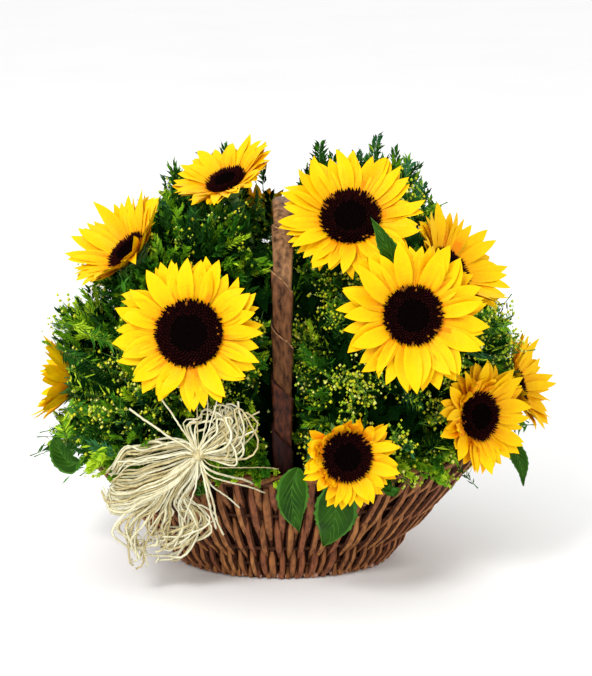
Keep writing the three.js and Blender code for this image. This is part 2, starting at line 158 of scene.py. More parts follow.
class Pile:
    """One piece's points and faces, from many small shapes. A face's tone is the number of its material."""

    def __init__(self):
        self.points = []
        self.faces = {3: [], 4: []}
        self.tones = {3: [], 4: []}
        self.count = 0

    def add(self, points, faces, tone=0):
        """Adds a shape. faces is (m, 3) or (m, 4), and tone is one number, or one for each face."""
        self.points.append(np.asarray(points, float).reshape(-1, 3))
        self.count += len(self.points[-1])
        self.share(faces, tone)

    def share(self, faces, tone):
        """Adds faces on the points added last."""
        faces = np.asarray(faces)
        sides = faces.shape[1]
        self.faces[sides].append(faces + self.count - len(self.points[-1]))
        self.tones[sides].append(np.broadcast_to(tone, len(faces)))

    def scatter(self, points, tone, *kinds):
        """Adds many shapes alike. points is (n, k, 3), tone is one or (n,), kinds are one shape's faces."""
        self.points.append(points.reshape(-1, 3))
        self.count += len(self.points[-1])
        first = points.shape[1] * np.arange(len(points))[:, None, None]
        for faces in map(np.array, kinds):
            tones = np.broadcast_to(tone, len(points)).repeat(len(faces))
            self.share((first + faces).reshape(-1, faces.shape[1]), tones)

    def piece(self, name, materials, slot, replaces=(), smooth=True):
        """Makes the mesh object, which rides on the one body."""
        mesh = bpy.data.meshes.new(name)
        mesh.vertices.add(self.count)
        mesh.vertices.foreach_set("co", np.concatenate(self.points).astype(np.float32).ravel())
        corners, starts, tones, first = [], [], [], 0
        for sides in (3, 4):
            if self.faces[sides]:
                faces = np.concatenate(self.faces[sides])
                corners.append(faces.ravel())
                starts.append(first + sides * np.arange(len(faces)))
                tones.append(np.concatenate(self.tones[sides]))
                first += faces.size
        mesh.loops.add(first)
        mesh.loops.foreach_set("vertex_index", np.concatenate(corners).astype(np.int32))
        mesh.polygons.add(sum(len(s) for s in starts))
        for key, rows in (("loop_start", starts), ("material_index", tones)):
            mesh.polygons.foreach_set(key, np.concatenate(rows).astype(np.int32))
        mesh.polygons.foreach_set("use_smooth", np.full(len(mesh.polygons), smooth))
        for material in materials:
            mesh.materials.append(material)
        mesh.update(calc_edges=True)
        mesh.validate()
        made = bpy.data.objects.new(name, mesh)
        bpy.context.scene.collection.objects.link(made)
        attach(made, "root")
        if replaces:
            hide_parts(*replaces)


def unit(a):
    return a / np.maximum(np.linalg.norm(a, axis=-1, keepdims=True), 1e-12)


def smooth_noise(rng, count, spacing):
    """A wandering row of numbers, mostly within -1 to 1, that turns every spacing steps."""
    knots = rng.normal(0, 0.6, count // spacing + 3)
    return np.interp(np.arange(count) / spacing, np.arange(len(knots)), knots)


def grid_faces(rows, columns, wrap=False):
    """Four-sided faces over a grid of points given row by row. With wrap, each row is a closed ring."""
    across = columns if wrap else columns - 1
    i, j = np.meshgrid(np.arange(rows - 1), np.arange(across), indexing="ij")
    here, there = (i * columns + j).ravel(), (i * columns + (j + 1) % columns).ravel()
    return np.stack([here, there, there + columns, here + columns], 1)


def distances(points):
    """How far along its row each point lies."""
    return np.concatenate([[0], np.cumsum(np.linalg.norm(np.diff(points, axis=0), axis=1))])


def read_off(where, stops, points):
    """The places on a row of points at the given stops."""
    return np.stack([np.interp(where, stops, points[:, k]) for k in range(3)], -1)


def bezier(t, *handles):
    """Points at shares t of the curve that the handles pull. Two handles make a straight line."""
    while len(handles) > 1:
        handles = [(1 - t) * a + t * b for a, b in zip(handles, handles[1:])]
    return handles[0]


def smooth_curve(points, count):
    """count points, evenly spaced, on a smooth curve through the given ones."""
    points = np.asarray(points, float)
    ends = np.array([2 * points[0] - points[1], *points, 2 * points[-1] - points[-2]])
    t = np.linspace(0, 1, 24, endpoint=False)[:, None]
    fine = []
    for a, b, c, d in zip(ends, ends[1:], ends[2:], ends[3:]):
        square, cube = 2 * a - 5 * b + 4 * c - d, 3 * b - a - 3 * c + d
        fine.append(0.5 * (2 * b + (c - a) * t + square * t**2 + cube * t**3))
    fine = np.concatenate([*fine, points[-1:]])
    along = distances(fine)
    return read_off(np.linspace(0, along[-1], count), along, fine)


def tube(pile, path, radius, sides=6, tone=0, flat=1.0, face=(0, -1, 0)):
    """A tube along a path. radius is one number or one for each point, and flat squeezes it along face."""
    path = np.asarray(path, float)
    along = unit(np.gradient(path, axis=0))
    across = unit(np.cross(along, np.asarray(face, float)))
    up = np.cross(across, along)
    radius = np.broadcast_to(radius, len(path))[:, None, None]
    turn = np.linspace(0, TAU, sides, endpoint=False)
    ring = across[:, None] * np.cos(turn)[:, None] + up[:, None] * (flat * np.sin(turn))[:, None]
    pile.add(path[:, None] + radius * ring, grid_faces(len(path), sides, wrap=True), tone)
    last = (len(path) - 1) * sides
    fan = [[0, j + 1, j] for j in range(1, sides - 1)]
    pile.share(np.array(fan + [[last, last + j, last + j + 1] for j in range(1, sides - 1)]), tone)


def node_points(name):
    """The different corners of a CAD node."""
    mesh = frame["nodes"][name].data
    points = np.empty(len(mesh.vertices) * 3, np.float32)
    mesh.vertices.foreach_get("co", points)
    return np.unique(np.round(points.reshape(-1, 3), 5), axis=0).astype(float)


def node_box(name):
    """The lowest and the highest corner of a CAD node's box."""
    return [np.array(corner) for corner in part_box(name)]


# ---------------------------------------------------------------- sunflowers

SIGHT = 90 * MM  # no leaf stands this close before a bloom
PETAL_ROWS, PETAL_COLUMNS = 13, 7
PETAL_TONES = 8
PETAL_FOOT = 0.86  # where petals start, as a share of the disc's radius
PETAL_WIDTH = 0.36  # of its length
PETAL_SHORTEST = 28 * MM  # petals below this length stay as wide as one of this length
PETAL_SHAPE = ([0, 0.15, 0.4, 0.62, 0.82, 0.94, 1], [0.5, 0.78, 1, 0.95, 0.6, 0.24, 0.02])
LAYER_STEP = 1.6 * MM  # each ring of petals lies this far behind the one before it
FRILLED = {8: 0.92, 9: 0.35}  # share of short curled petals on the blooms that have them
FRILLED_SIDE = 2.4  # the angle round a bloom in the middle of its curled petals
FLORET_TIP = 8  # number of the point at a floret's tip, after four at its foot and four at its shoulder
STEM_RADIUS = 4.5 * MM
STEM_SPREAD = 0.36  # how far out its foot stands in the foam, as a share of its bloom's place
STEM_BEND = 0.36
STEM_IN_FOAM = 22 * MM
CALYX_DEPTH = 18 * MM
CALYX_SHAPE = np.array([0.24, 0.36, 0.66, 0.86, 0.93, 0.9])  # its radius, as shares of the disc's
BRACTS = 13  # in each of two rings


class Bloom:
    """One bloom's place, facing and sizes, read from its CAD nodes."""

    def __init__(self, number):
        self.number = number
        disc = node_points(f"bloom_{number}_disc")
        petals = node_points(f"bloom_{number}_petals")
        stem = node_points(f"stem_{number}")
        middle = disc.mean(0)
        out = np.linalg.svd(disc - middle)[2][2]
        calyx = stem[np.argsort(np.linalg.norm(stem - middle, axis=1))[:8]]
        self.out = out if out @ (middle - calyx.mean(0)) > 0 else -out
        self.base = middle + self.out * ((disc - middle) @ self.out).min()
        self.side = unit(np.cross(UP, self.out))
        self.up = np.cross(self.out, self.side)
        self.disc = self.spread(disc).max()
        reach = self.spread(petals)
        self.tips = reach.max()
        self.cup = ((petals - self.base) @ self.out)[reach.argmax()]

    def spread(self, points):
        """How far points are from the bloom's axis."""
        offset = points - self.base
        return np.linalg.norm(offset - (offset @ self.out)[..., None] * self.out, axis=-1)

    def place(self, radius, angle, height):
        """Points from their distance to the axis, the angle round it and the height over the disc's plane."""
        radius, angle, height = np.broadcast_arrays(radius, angle, height)
        ways = np.cos(angle)[..., None] * self.side + np.sin(angle)[..., None] * self.up
        return self.base + radius[..., None] * ways + height[..., None] * self.out

    def hides(self, points):
        """True for points in front of the petals or among them, and for those in and before the disc."""
        height, reach = (points - self.base) @ self.out, self.spread(points)
        slope = np.clip((reach - self.disc) / (self.tips - self.disc), 0, 1)
        on_petals = (height > self.cup * slope - 5 * MM) & (height > -12 * MM) & (height < self.cup + SIGHT)
        on_disc = (height > -18 * MM) & (height < SIGHT)
        return (on_petals & (reach < self.tips * 1.02)) | (on_disc & (reach < self.disc))


BLOOM_COUNT = sum(name.endswith("_disc") for name in frame["nodes"])
blooms = [Bloom(number) for number in range(1, BLOOM_COUNT + 1)]


def petal(bloom, rng, angle, layer, frilled):
    """One ray petal: points row by row from its foot to its tip, and each face's tone."""
    inner = bloom.disc * PETAL_FOOT
    reach = bloom.tips * rng.uniform(0.9, 1.03) - inner
    if frilled:
        reach *= rng.uniform(0.4, 0.85)
    t = np.linspace(0, 1, PETAL_ROWS)[:, None]
    s = np.linspace(-1, 1, PETAL_COLUMNS)[None]
    width = 0.5 * PETAL_WIDTH * max(reach, PETAL_SHORTEST) * rng.uniform(0.85, 1.2)
    width = width * np.interp(t, *PETAL_SHAPE)
    lift = bloom.cup * (reach + inner - bloom.disc) / (bloom.tips - bloom.disc)
    lift = lift + rng.normal(0, 0.09) * reach - LAYER_STEP * layer
    arch = rng.uniform(0.03, 0.12) * reach
    curl = rng.normal(-0.02, 0.16) * reach
    height = lift * t**1.15 + arch * np.sin(math.pi * t) + curl * np.clip(t - 0.6, 0, 1) ** 2 * 3
    out = inner + reach * t
    if frilled:
        roll = rng.uniform(-1.0, 2.6) * t**1.3
        ripple = 0.10 * np.sin(14 * t + rng.uniform(0, TAU))
        height = height + reach * t * (0.55 * np.sin(roll) + ripple)
        out = inner + reach * (t - 0.30 * t * (1 - np.cos(roll)))
    twist = rng.normal(0, 0.9 if frilled else 0.32) * t + rng.normal(0, 0.08)
    bend = rng.normal(0, 0.09) * t**2
    groove = 0.09 * np.cos(s * 3 * math.pi) * (1 - 0.5 * t) - 0.24 * (1 - s**2) * np.sin(math.pi * t)
    wave = rng.uniform(0.03, 0.1) * np.sin(t * rng.uniform(7, 12) + rng.uniform(0, TAU)) * s
    turned = angle + bend + s * width * np.cos(twist) / np.maximum(out, 1e-4)
    points = bloom.place(out, turned, height + s * width * np.sin(twist) + width * (groove + wave))

    rows = (np.arange(PETAL_ROWS - 1)[:, None] + 0.5) / (PETAL_ROWS - 1)
    edge = np.abs(np.linspace(-1, 1, PETAL_COLUMNS - 1))[None]
    # Petals in rings further back are painted more orange, as painted shade; curled petals are more orange as
    # well.
    depth = rows * 1.25 + edge * 0.12 + 0.08 - 0.22 * layer + rng.uniform(-0.10, 0.12)
    depth = depth - (0.3 if frilled else 0.0)
    tone = np.clip(np.floor(depth * PETAL_TONES), 0, PETAL_TONES - 1).astype(int)
    return points, tone.ravel()


def ray_petals(bloom, rng):
    """Overlapping rings of petals, the last of them sparse. Blooms with curled petals have one ring more."""
    pile = Pile()
    around = int(round(12 + 160 * bloom.tips))
    share = FRILLED.get(bloom.number, 0.0)
    rings = [around] * (3 if share else 2) + [around // 2]
    for layer, count in enumerate(rings):
        for k in range(count):
            angle = TAU * (k + 0.5 * layer + rng.uniform(-0.28, 0.28)) / count
            curled_side = math.cos(angle - FRILLED_SIDE) > -0.2
            frilled = share > 0 and curled_side and rng.random() < share
            points, tone = petal(bloom, rng, angle, layer, frilled)
            pile.add(points, grid_faces(PETAL_ROWS, PETAL_COLUMNS), tone)
    return pile


def seed_disc(bloom, rng):
    """A dome set with florets in a spiral: a dark middle and a ragged reddish rim."""
    pile = Pile()
    crown = 0.24 * bloom.disc
    profile = np.linspace(0, 1, 7)
    ring = np.linspace(0, TAU, 28, endpoint=False)

    def dome(share):
        return crown * (1 - 0.35 * (1 - share) ** 2) * np.sqrt(np.clip(1.04 - share**2, 0, 1)) + 0.3 * MM

    points = bloom.place(bloom.disc * profile[:, None], ring[None], dome(profile)[:, None])
    pile.add(points, grid_faces(len(profile), len(ring), wrap=True))

    count = int(round(60 + 16000 * bloom.disc))
    k = np.arange(count)
    share = np.sqrt((k + 0.5) / count)
    angle = k * GOLDEN_ANGLE
    outer = np.clip((share - 0.5) / 0.4, 0, 1)
    tall = MM * (1.3 + 2.6 * outer * rng.uniform(0.5, 1.25, count))
    thick = (bloom.disc * 0.95 / math.sqrt(count) * rng.uniform(0.8, 1.1, count))[:, None, None]
    lean = 0.75 * outer * tall + rng.normal(0, 0.35 * MM, count)
    foot = bloom.place(share * bloom.disc, angle, dome(share) - 0.4 * MM)[:, None]
    tip = bloom.place(share * bloom.disc + lean, angle, dome(share) + tall)[:, None]
    corners = (np.arange(4) * TAU / 4 + 0.4)[:, None]
    ways = np.cos(corners) * bloom.side + np.sin(corners) * bloom.up
    shoulder = 0.45 * foot + 0.55 * tip + 0.8 * thick * ways
    sides = [[j, (j + 1) % 4, 4 + (j + 1) % 4, 4 + j] for j in range(4)]
    caps = [[4 + j, 4 + (j + 1) % 4, FLORET_TIP] for j in range(4)]
    tone = np.where(share > 0.56, np.where(rng.random(count) < 0.5, 1, 2), 0)
    tone = np.where((share > 0.84) & (rng.random(count) < 0.1), 3, tone)
    pile.scatter(np.concatenate([foot + thick * ways, shoulder, tip], 1), tone, sides, caps)
    return pile


def stem_path(bloom):
    foot = np.array([*bloom.base[:2] * STEM_SPREAD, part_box("foam_block")[1].z - STEM_IN_FOAM])
    end = bloom.base - bloom.out * CALYX_DEPTH
    reach = np.linalg.norm(end - foot) * STEM_BEND
    return bezier(np.linspace(0, 1, 26)[:, None], foot, foot + UP * reach, end - bloom.out * reach, end)


def stem_and_calyx(bloom, rng):
    """The ribbed stem, the cup behind the petals and two rings of pointed bracts."""
    pile = Pile()
    path = stem_path(bloom)
    tube(pile, path, STEM_RADIUS * np.linspace(1.0, 0.9, len(path)), sides=10, face=bloom.side)
    heights = np.linspace(-CALYX_DEPTH, -1.5 * MM, len(CALYX_SHAPE))
    ring = np.linspace(0, TAU, 20, endpoint=False)
    cup = bloom.place(CALYX_SHAPE[:, None] * bloom.disc, ring[None], heights[:, None])
    pile.add(cup, grid_faces(len(heights), len(ring), wrap=True))

    t = np.linspace(0, 1, 6)[:, None]
    s = np.linspace(-1, 1, 3)[None]
    slope = 0.2 + 0.8 * bloom.cup / (bloom.tips - bloom.disc)
    width = 0.24 * bloom.disc * np.interp(t, [0, 0.3, 1], [0.9, 1, 0.03])
    for layer in (0, 1):
        for k in range(BRACTS):
            angle = TAU * (k + 0.5 * layer) / BRACTS + rng.normal(0, 0.08)
            reach = bloom.disc * rng.uniform(0.55, 0.85) * t
            out = bloom.disc * (0.72 + 0.1 * layer) + reach
            curl = rng.normal(0, 1.2 * MM) * t**2 - 4 * MM * t
            height = (-6 + 2.5 * layer) * MM + reach * slope + curl
            points = bloom.place(out, angle + s * width / out, height + 0.25 * width * np.abs(s))
            pile.add(points, grid_faces(6, 3), 1)
    return pile


def make_blooms():
    foot, tip = np.array([0.84, 0.27, 0.0]), np.array([0.95, 0.57, 0.0])
    petal_tones = []
    for k in range(PETAL_TONES):
        colour = foot + (tip - foot) * (k / (PETAL_TONES - 1)) ** 0.6
        petal_tones.append(surface(f"petal_{k}", colour * 0.93, colour, 260, 0.55, 0.2, shine=0.1))
    disc_tones = [
        surface("floret_dark", (0.0010, 0.0003, 0.0003), (0.004, 0.001, 0.001), 900, 0.9, 0.3, shine=0.02),
        surface("floret_brown", (0.010, 0.001, 0.001), (0.035, 0.003, 0.003), 900, 0.85, 0.3, shine=0.05),
        surface("floret_red", (0.007, 0.001, 0.001), (0.022, 0.002, 0.002), 900, 0.85, 0.3, shine=0.05),
        surface("floret_gold", (0.30, 0.09, 0.004), (0.5, 0.18, 0.01), 900, 0.8, 0.3, shine=0.2),
    ]
    stem_tones = [
        surface("stem_skin", (0.13, 0.27, 0.06), (0.24, 0.42, 0.11), 150, 0.55, 0.3, (1, 1, 0.2)),
        surface("bract", (0.07, 0.2, 0.03), (0.15, 0.34, 0.06), 150, 0.55, 0.3),
    ]
    for bloom in blooms:
        rng = np.random.default_rng(100 + bloom.number)
        number = bloom.number
        rays, disc, stem = f"bloom_{number}_petals", f"bloom_{number}_disc", f"stem_{number}"
        ray_petals(bloom, rng).piece(f"rays_{number}", petal_tones, "petal", [rays])
        seed_disc(bloom, rng).piece(f"florets_{number}", disc_tones, "seed_disc", [disc], smooth=False)
        stem_and_calyx(bloom, rng).piece(f"stalk_{number}", stem_tones, "stem", [stem])


# ---------------------------------------------------------------- basket

BASKET_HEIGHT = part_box("basket")[1].z
BASKET_POINTS = node_points("basket")
MOUTH = np.array(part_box("basket")[1].xy)
FOOT = np.abs(BASKET_POINTS[BASKET_POINTS[:, 2] < 1 * MM, :2]).max(0)
BORDER_LOW, BORDER_TOP = (corner.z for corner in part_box("basket_border"))
SLATS = 124  # round the wall, in two staggered sets
SLAT_STEPS = 57
SLAT_WIDTH = 8 * MM
SLAT_FOOT = 1.6 * MM  # the slats end this far above the floor
SLAT_PAST_TOP = 3 * MM  # and this far above the wall
SLAT_TONES, SLAT_SHADE, SHADE_SHELL, CUT_WOOD = 4, 4, 5, 6  # the slats' own tones are the first four; the next two are painted shade, a dark one and a near-black one, then cut wood
ROD_SHARES = (0.0, 0.14, 0.31, 0.66, 0.97)  # heights of the rods, as shares of the wall's
ROD_RADIUS = 1.8 * MM
ROD_INSET = 3.2 * MM
# Where the slats of each set tuck in behind a rod. Between two of these they bow out.
TUCKS = ((-0.2, 0.14, 0.66, 1.1), (-0.1, 0.31, 1.0))
# The near-black shell behind the slats, which puts painted shade in their gaps, in mm: for its outer and its
# inner face, the floor's height and inset, and the wall's inset.
SHELL = ((1.5, 40, 5), (8, 60, 7))
SHELL_LEVELS = (30, 60, 90, 106)  # heights of its rings above the floor
BORDER_STEPS = 17


def outline(angle, height, inset=0.0):
    """Points of the oval wall at an angle and a height, moved inwards by inset."""
    angle, height, inset = np.broadcast_arrays(angle, height, inset)
    share = (height / BASKET_HEIGHT)[..., None]
    half = FOOT * (1 - share) + MOUTH * share - inset[..., None]
    return np.concatenate([half * np.stack([np.cos(angle), np.sin(angle)], -1), height[..., None]], -1)


def even_angles(count):
    """Angles that space count points evenly round the oval halfway up the wall."""
    fine = np.linspace(0, TAU, 721)
    along = distances(outline(fine, 0.5 * BASKET_HEIGHT))
    return np.interp(np.arange(count) * along[-1] / count, along, fine)


def slat(pile, rng, angle, phase):
    """One split slat that bows out over a rod and tucks in behind the next, all the way up the wall."""
    t = np.linspace(0, 1, SLAT_STEPS)
    tucks = np.array(TUCKS[phase]) + rng.normal(0, 0.012)
    wave = -np.cos(TAU * np.interp(t, tucks, np.arange(len(tucks))))
    bow = np.clip(1.5 * wave, -1, 1) + 0.25 * wave
    out = MM * (rng.uniform(-0.4, 0.4) + 2.3 * bow - 1.4)
    angle = angle + (rng.normal(0, 0.010) + rng.normal(0, 0.010) * (t - 0.5))
    middle = outline(angle, SLAT_FOOT + t * (BASKET_HEIGHT + SLAT_PAST_TOP - SLAT_FOOT), -out)
    along = unit(np.gradient(middle, axis=0))
    outward = unit(outline(angle, t * BASKET_HEIGHT) - outline(angle, t * BASKET_HEIGHT, 9 * MM))
    across = unit(np.cross(along, outward))
    proud = np.cross(across, along)
    plump = np.clip(0.5 + 0.9 * (wave + 1) / 2, 0, 1)
    half = 0.5 * SLAT_WIDTH * plump * rng.uniform(0.85, 1.12) * (0.84 + 0.28 * t)
    s = np.array([-1, -0.68, -0.1, 0.62, 1]) + rng.normal(0, 0.06, 5)
    rise = np.array([-1.6, 0.15, 0.75, 0.1, -1.6]) * 1.5 * MM + rng.normal(0, 0.12 * MM, (SLAT_STEPS, 5))
    rows = middle[:, None] + across[:, None] * (half[:, None] * s)[..., None]
    rows = rows + proud[:, None] * rise[..., None]
    shade = rng.integers(0, SLAT_TONES)
    # Each slat has one own tone at random. Painted shade: its two outer strips, and its rows where it tucks
    # in behind a rod, take the dark tone.
    edge = np.array([True, False, False, True])
    tone = np.where((wave[:-1] < -0.8)[:, None] | edge, SLAT_SHADE, shade)
    pile.add(rows, grid_faces(SLAT_STEPS, 5), tone.ravel())


def woven_wall(rng):
    """The dark shell (painted shade), the rods round it, the slats, and the cut ends that show at every other
    slat's foot.
    """
    wall = Pile()
    ring = np.linspace(0, TAU, 96, endpoint=False)
    for floor, floor_inset, inset in SHELL:
        levels = np.array([floor, floor, *SHELL_LEVELS])[:, None] * MM
        insets = np.array([floor_inset, *[inset] * (len(levels) - 1)])[:, None] * MM
        wall.add(outline(ring[None], levels, insets), grid_faces(len(levels), len(ring), wrap=True), SHADE_SHELL)
    for share in ROD_SHARES:
        circle = outline(np.linspace(0, TAU, 121), share * BASKET_HEIGHT + ROD_RADIUS, ROD_INSET)
        # The rods take the slats' dark tone, as painted shade in the crevices between the bows.
        tube(wall, circle, ROD_RADIUS, tone=SLAT_SHADE)
    for k, angle in enumerate(even_angles(SLATS)):
        slat(wall, rng, angle, phase=k % 2)
        if k % 2 == 0:
            foot = outline(angle, 3.2 * MM, np.linspace(6, -0.8, 3) * MM)
            tube(wall, foot + rng.normal(0, 0.4 * MM, 3), 2.2 * MM, sides=7, tone=CUT_WOOD)
    return wall


def woven_border(rng):
    """Flat strands that climb over the wall's edge one after the other. Every third is dark."""
    border = Pile()
    middle_height = 0.5 * (BORDER_LOW + BORDER_TOP)
    t = np.linspace(0, 1, BORDER_STEPS)
    for k, angle in enumerate(even_angles(SLATS)):
        span = rng.uniform(0.26, 0.36)
        turn = math.pi * (-0.35 + 1.25 * t) + rng.normal(0, 0.12)
        out = 3.3 * MM * np.cos(turn) - 3.4 * MM
        path = outline(angle + span * t, np.full(BORDER_STEPS, BASKET_HEIGHT), -out)
        path[:, 2] = middle_height - 0.5 * MM + 3.2 * MM * np.sin(turn)
        outward = unit(path[BORDER_STEPS // 2] * np.array([1, 1, 0.0]))
        size = 2.3 * MM * np.interp(t, [0, 0.15, 0.8, 1], [0.7, 1, 1, 0.5]) * rng.uniform(0.8, 1.1)
        # Every third strand takes the slats' dark tone, the one used for painted shade.
        tone = rng.integers(0, SLAT_TONES) if k % 3 else SLAT_SHADE
        tube(border, path, size, tone=tone, flat=0.5, face=outward)
    return border


def make_basket():
    skin = dict(scale=300, roughness=0.5, bump=0.4, stretch=(1, 1, 0.18), shine=0.18)
    tones = [
        surface("slat_tan", (0.18, 0.062, 0.016), (0.47, 0.20, 0.065), **skin),
        surface("slat_brown", (0.12, 0.040, 0.012), (0.35, 0.13, 0.040), **skin),
        surface("slat_red", (0.11, 0.030, 0.012), (0.30, 0.10, 0.036), **skin),
        surface("slat_warm", (0.15, 0.05, 0.012), (0.41, 0.165, 0.048), **skin),
        # The next two are painted shade: a dark tone for the slats' edges and tucks, the rods and every third
        # border strand, and a near-black one for the shell behind them.
        surface("slat_edge", (0.028, 0.008, 0.003), (0.09, 0.028, 0.010), 300, 0.6, 0.3, shine=0.12),
        surface("slat_inside", (0.006, 0.002, 0.001), (0.018, 0.006, 0.003), 200, 0.8, 0.3, shine=0.05),
        surface("cut_wood", (0.42, 0.2, 0.13), (0.62, 0.36, 0.25), 500, 0.7, 0.3),
    ]
    rng = np.random.default_rng(7)
    woven_wall(rng).piece("woven_wall", tones, "wicker", ["basket"])
    woven_border(rng).piece("woven_border", tones, "wicker", ["basket_border"])


# ---------------------------------------------------------------- handle

HANDLE_LOW, HANDLE_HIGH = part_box("handle")
HANDLE_WIDTH = HANDLE_HIGH.x - HANDLE_LOW.x
HANDLE_THICK = 7 * MM
HOOP_RADIUS = HANDLE_HIGH.y - 0.5 * HANDLE_THICK
HOOP_SPRING = HANDLE_HIGH.z - HANDLE_HIGH.y  # height at which the legs turn into the round top
HOOP_SHARE = 0.84  # width of the hoop inside the bark, as a share of the handle's
WRAP_PITCH = 46 * MM
WRAP_OVERLAP = 1.14  # width of the strip, as a share of the pitch
WRAP_STEPS, WRAP_COLUMNS = 44, 18  # steps in a turn, and points across the strip
WRAP_LIFT = 3.6 * MM  # how far the strip's upper edge stands off the turn below it
WRAP_LIP = 3.0 * MM  # how far that edge folds back
BARK = {  # dark and light tone, scale, roughness, bump, squeeze of the noise along the strip, shine
    "bark_tan": ((0.045, 0.016, 0.006), (0.36, 0.18, 0.075), 210, 0.5, 1.0, 0.35, 0.1),
    "bark_brown": ((0.018, 0.005, 0.002), (0.20, 0.080, 0.030), 250, 0.5, 1.0, 0.35, 0.1),
    "bark_red": ((0.008, 0.002, 0.001), (0.12, 0.032, 0.014), 330, 0.45, 1.0, 0.45, 0.15),
    # Painted shade: the darkest tone, for the turns near the rim and the folded faces of the lips.
    "bark_dark": ((0.006, 0.001, 0.001), (0.035, 0.006, 0.004), 330, 0.45, 1.0, 0.4, 0.15),
    # A pale torn edge, partly painted highlight, beside each lip.
    "bark_lip": ((0.10, 0.042, 0.016), (0.40, 0.22, 0.10), 330, 0.6, 0.6, 0.4, 0.1),
}
LIGHT_BARKS, BARK_SHADE, TORN_LIP_HIGHLIGHT = 2, 3, 4  # numbers of tones: the first two are light, then the darkest, painted shade, and the pale lip, a torn edge that is partly painted highlight
SHADED_BELOW = BORDER_TOP + 22 * MM  # turns lower than this take the darkest tone, painted shade
DARKER_BELOW = 0.62  # turns below this share of the top's height are one tone darker, as painted shade


def handle_path():
    """How far along the hoop's middle line its points are, and the points, read from its node."""
    points = node_points("handle")
    low = HANDLE_LOW.z
    foot = np.abs(points[points[:, 2] < low + 1 * MM][:, 1]).max() - 0.5 * HANDLE_THICK
    arc = np.linspace(0, math.pi, 40)
    hoop = np.stack([0 * arc, -HOOP_RADIUS * np.cos(arc), HOOP_SPRING + HOOP_RADIUS * np.sin(arc)], 1)
    start = [[0, -foot, low], [0, -HOOP_RADIUS, BASKET_HEIGHT]]
    end = [[0, HOOP_RADIUS, BASKET_HEIGHT], [0, foot, low]]
    corners = np.concatenate([start, hoop, end])
    along = distances(corners)
    wanted = np.linspace(0, along[-1], 400)
    return wanted, read_off(wanted, along, corners)


def hoop_section(share):
    """How far aside and outwards the hoop's flat section reaches, and half its width and thickness.

    share is how much of the way round the section has been walked, at an even pace.
    """
    half_wide, half_thick = 0.5 * HANDLE_WIDTH * HOOP_SHARE, 0.5 * HANDLE_THICK * HOOP_SHARE
    lap = np.array([(1, -1), (1, 1), (-1, 1), (-1, -1), (1, -1)])
    stops = np.cumsum([0, half_thick, half_wide, half_thick, half_wide])
    aside, proud = (np.interp(share, stops / stops[-1], lap[:, k]) for k in (0, 1))
    aside = aside * (1 - 0.10 * np.abs(proud) ** 4)
    proud = proud * (1 - 0.22 * np.abs(aside) ** 6)
    return aside, proud, half_wide, half_thick


def make_handle():
    """The hoop, wrapped in one broad strip of bark that overlaps itself on every turn."""
    tones = [
        surface(name, dark, light, scale, roughness, bump, (1, 1, squeeze), 10, shine)
        for name, (dark, light, scale, roughness, bump, squeeze, shine) in BARK.items()
    ]
    rng = np.random.default_rng(21)
    walked, path = handle_path()
    outwards = unit(np.cross([1.0, 0, 0], unit(np.gradient(path, axis=0))))
    length = walked[-1]
    steps = int((length / WRAP_PITCH + 2) * WRAP_STEPS)
    turns = np.arange(steps) / WRAP_STEPS - 1.5
    ragged = smooth_noise(rng, steps, 7) * 1.7 * MM + smooth_noise(rng, steps, 2) * 0.7 * MM

    # A lip at the strip's upper edge, then its breadth, which thins out under the next turn.
    breadth = np.concatenate([[0, 0], np.linspace(0.03, 1, WRAP_COLUMNS - 2)])[None]
    place = (turns[:, None] - breadth * WRAP_OVERLAP) * WRAP_PITCH + ragged[:, None] * (1 - breadth)
    rough = 0.25 * MM * smooth_noise(rng, steps * WRAP_COLUMNS, 3).reshape(steps, WRAP_COLUMNS)
    lift = WRAP_LIFT * (1 - breadth) ** 1.25 - 0.8 * MM + rough
    lift[:, 0] -= WRAP_LIP
    aside, proud, half_wide, half_thick = hoop_section((turns % 1)[:, None])
    inside = np.clip(place, 0, length)
    across = (aside * (half_wide + 0.6 * lift))[..., None] * np.array([1.0, 0, 0])
    points = read_off(inside, walked, path) + across
    points = points + (proud * (half_thick + lift))[..., None] * read_off(inside, walked, outwards)

    turn_of = (np.floor(turns[:-1]) + 2).astype(int)
    # Painted shade: low turns are one tone darker, and those near the rim take the darkest tone.
    tone_of = []
    for turn in range(turn_of.max() + 1):
        rows = points[:-1][turn_of == turn]
        height = rows[..., 2].mean() if len(rows) else 0
        darker = int(height < DARKER_BELOW * path[:, 2].max())
        tone_of.append(BARK_SHADE if height < SHADED_BELOW else rng.integers(0, LIGHT_BARKS) + darker)
    tone = np.array(tone_of)[turn_of][:, None].repeat(WRAP_COLUMNS - 1, 1)
    # The folded lip face is painted shade in the darkest tone; the column beside it turns pale, a torn edge
    # that is partly painted highlight.
    tone[:, 0] = BARK_SHADE
    tone[:, 1] = np.where(tone[:, 1] < LIGHT_BARKS, TORN_LIP_HIGHLIGHT, tone[:, 1])

    faces = grid_faces(steps, WRAP_COLUMNS)
    where = place.ravel()[faces]
    keep = (where.max(1) > 0) & (where.min(1) < length)
    pile = Pile()
    pile.add(points, faces[keep], tone.ravel()[keep])
    pile.piece("wrapped_hoop", tones, "handle_wrap", ["handle"])


def paint_foam():
    foam = frame["nodes"]["foam_block"]
    foam.data.materials.clear()
    foam.data.materials.append(surface("wet_foam", (0.015, 0.06, 0.02), (0.04, 0.12, 0.045), 400, 0.9, 0.4))


# ---------------------------------------------------------------- leaves of the sunflowers

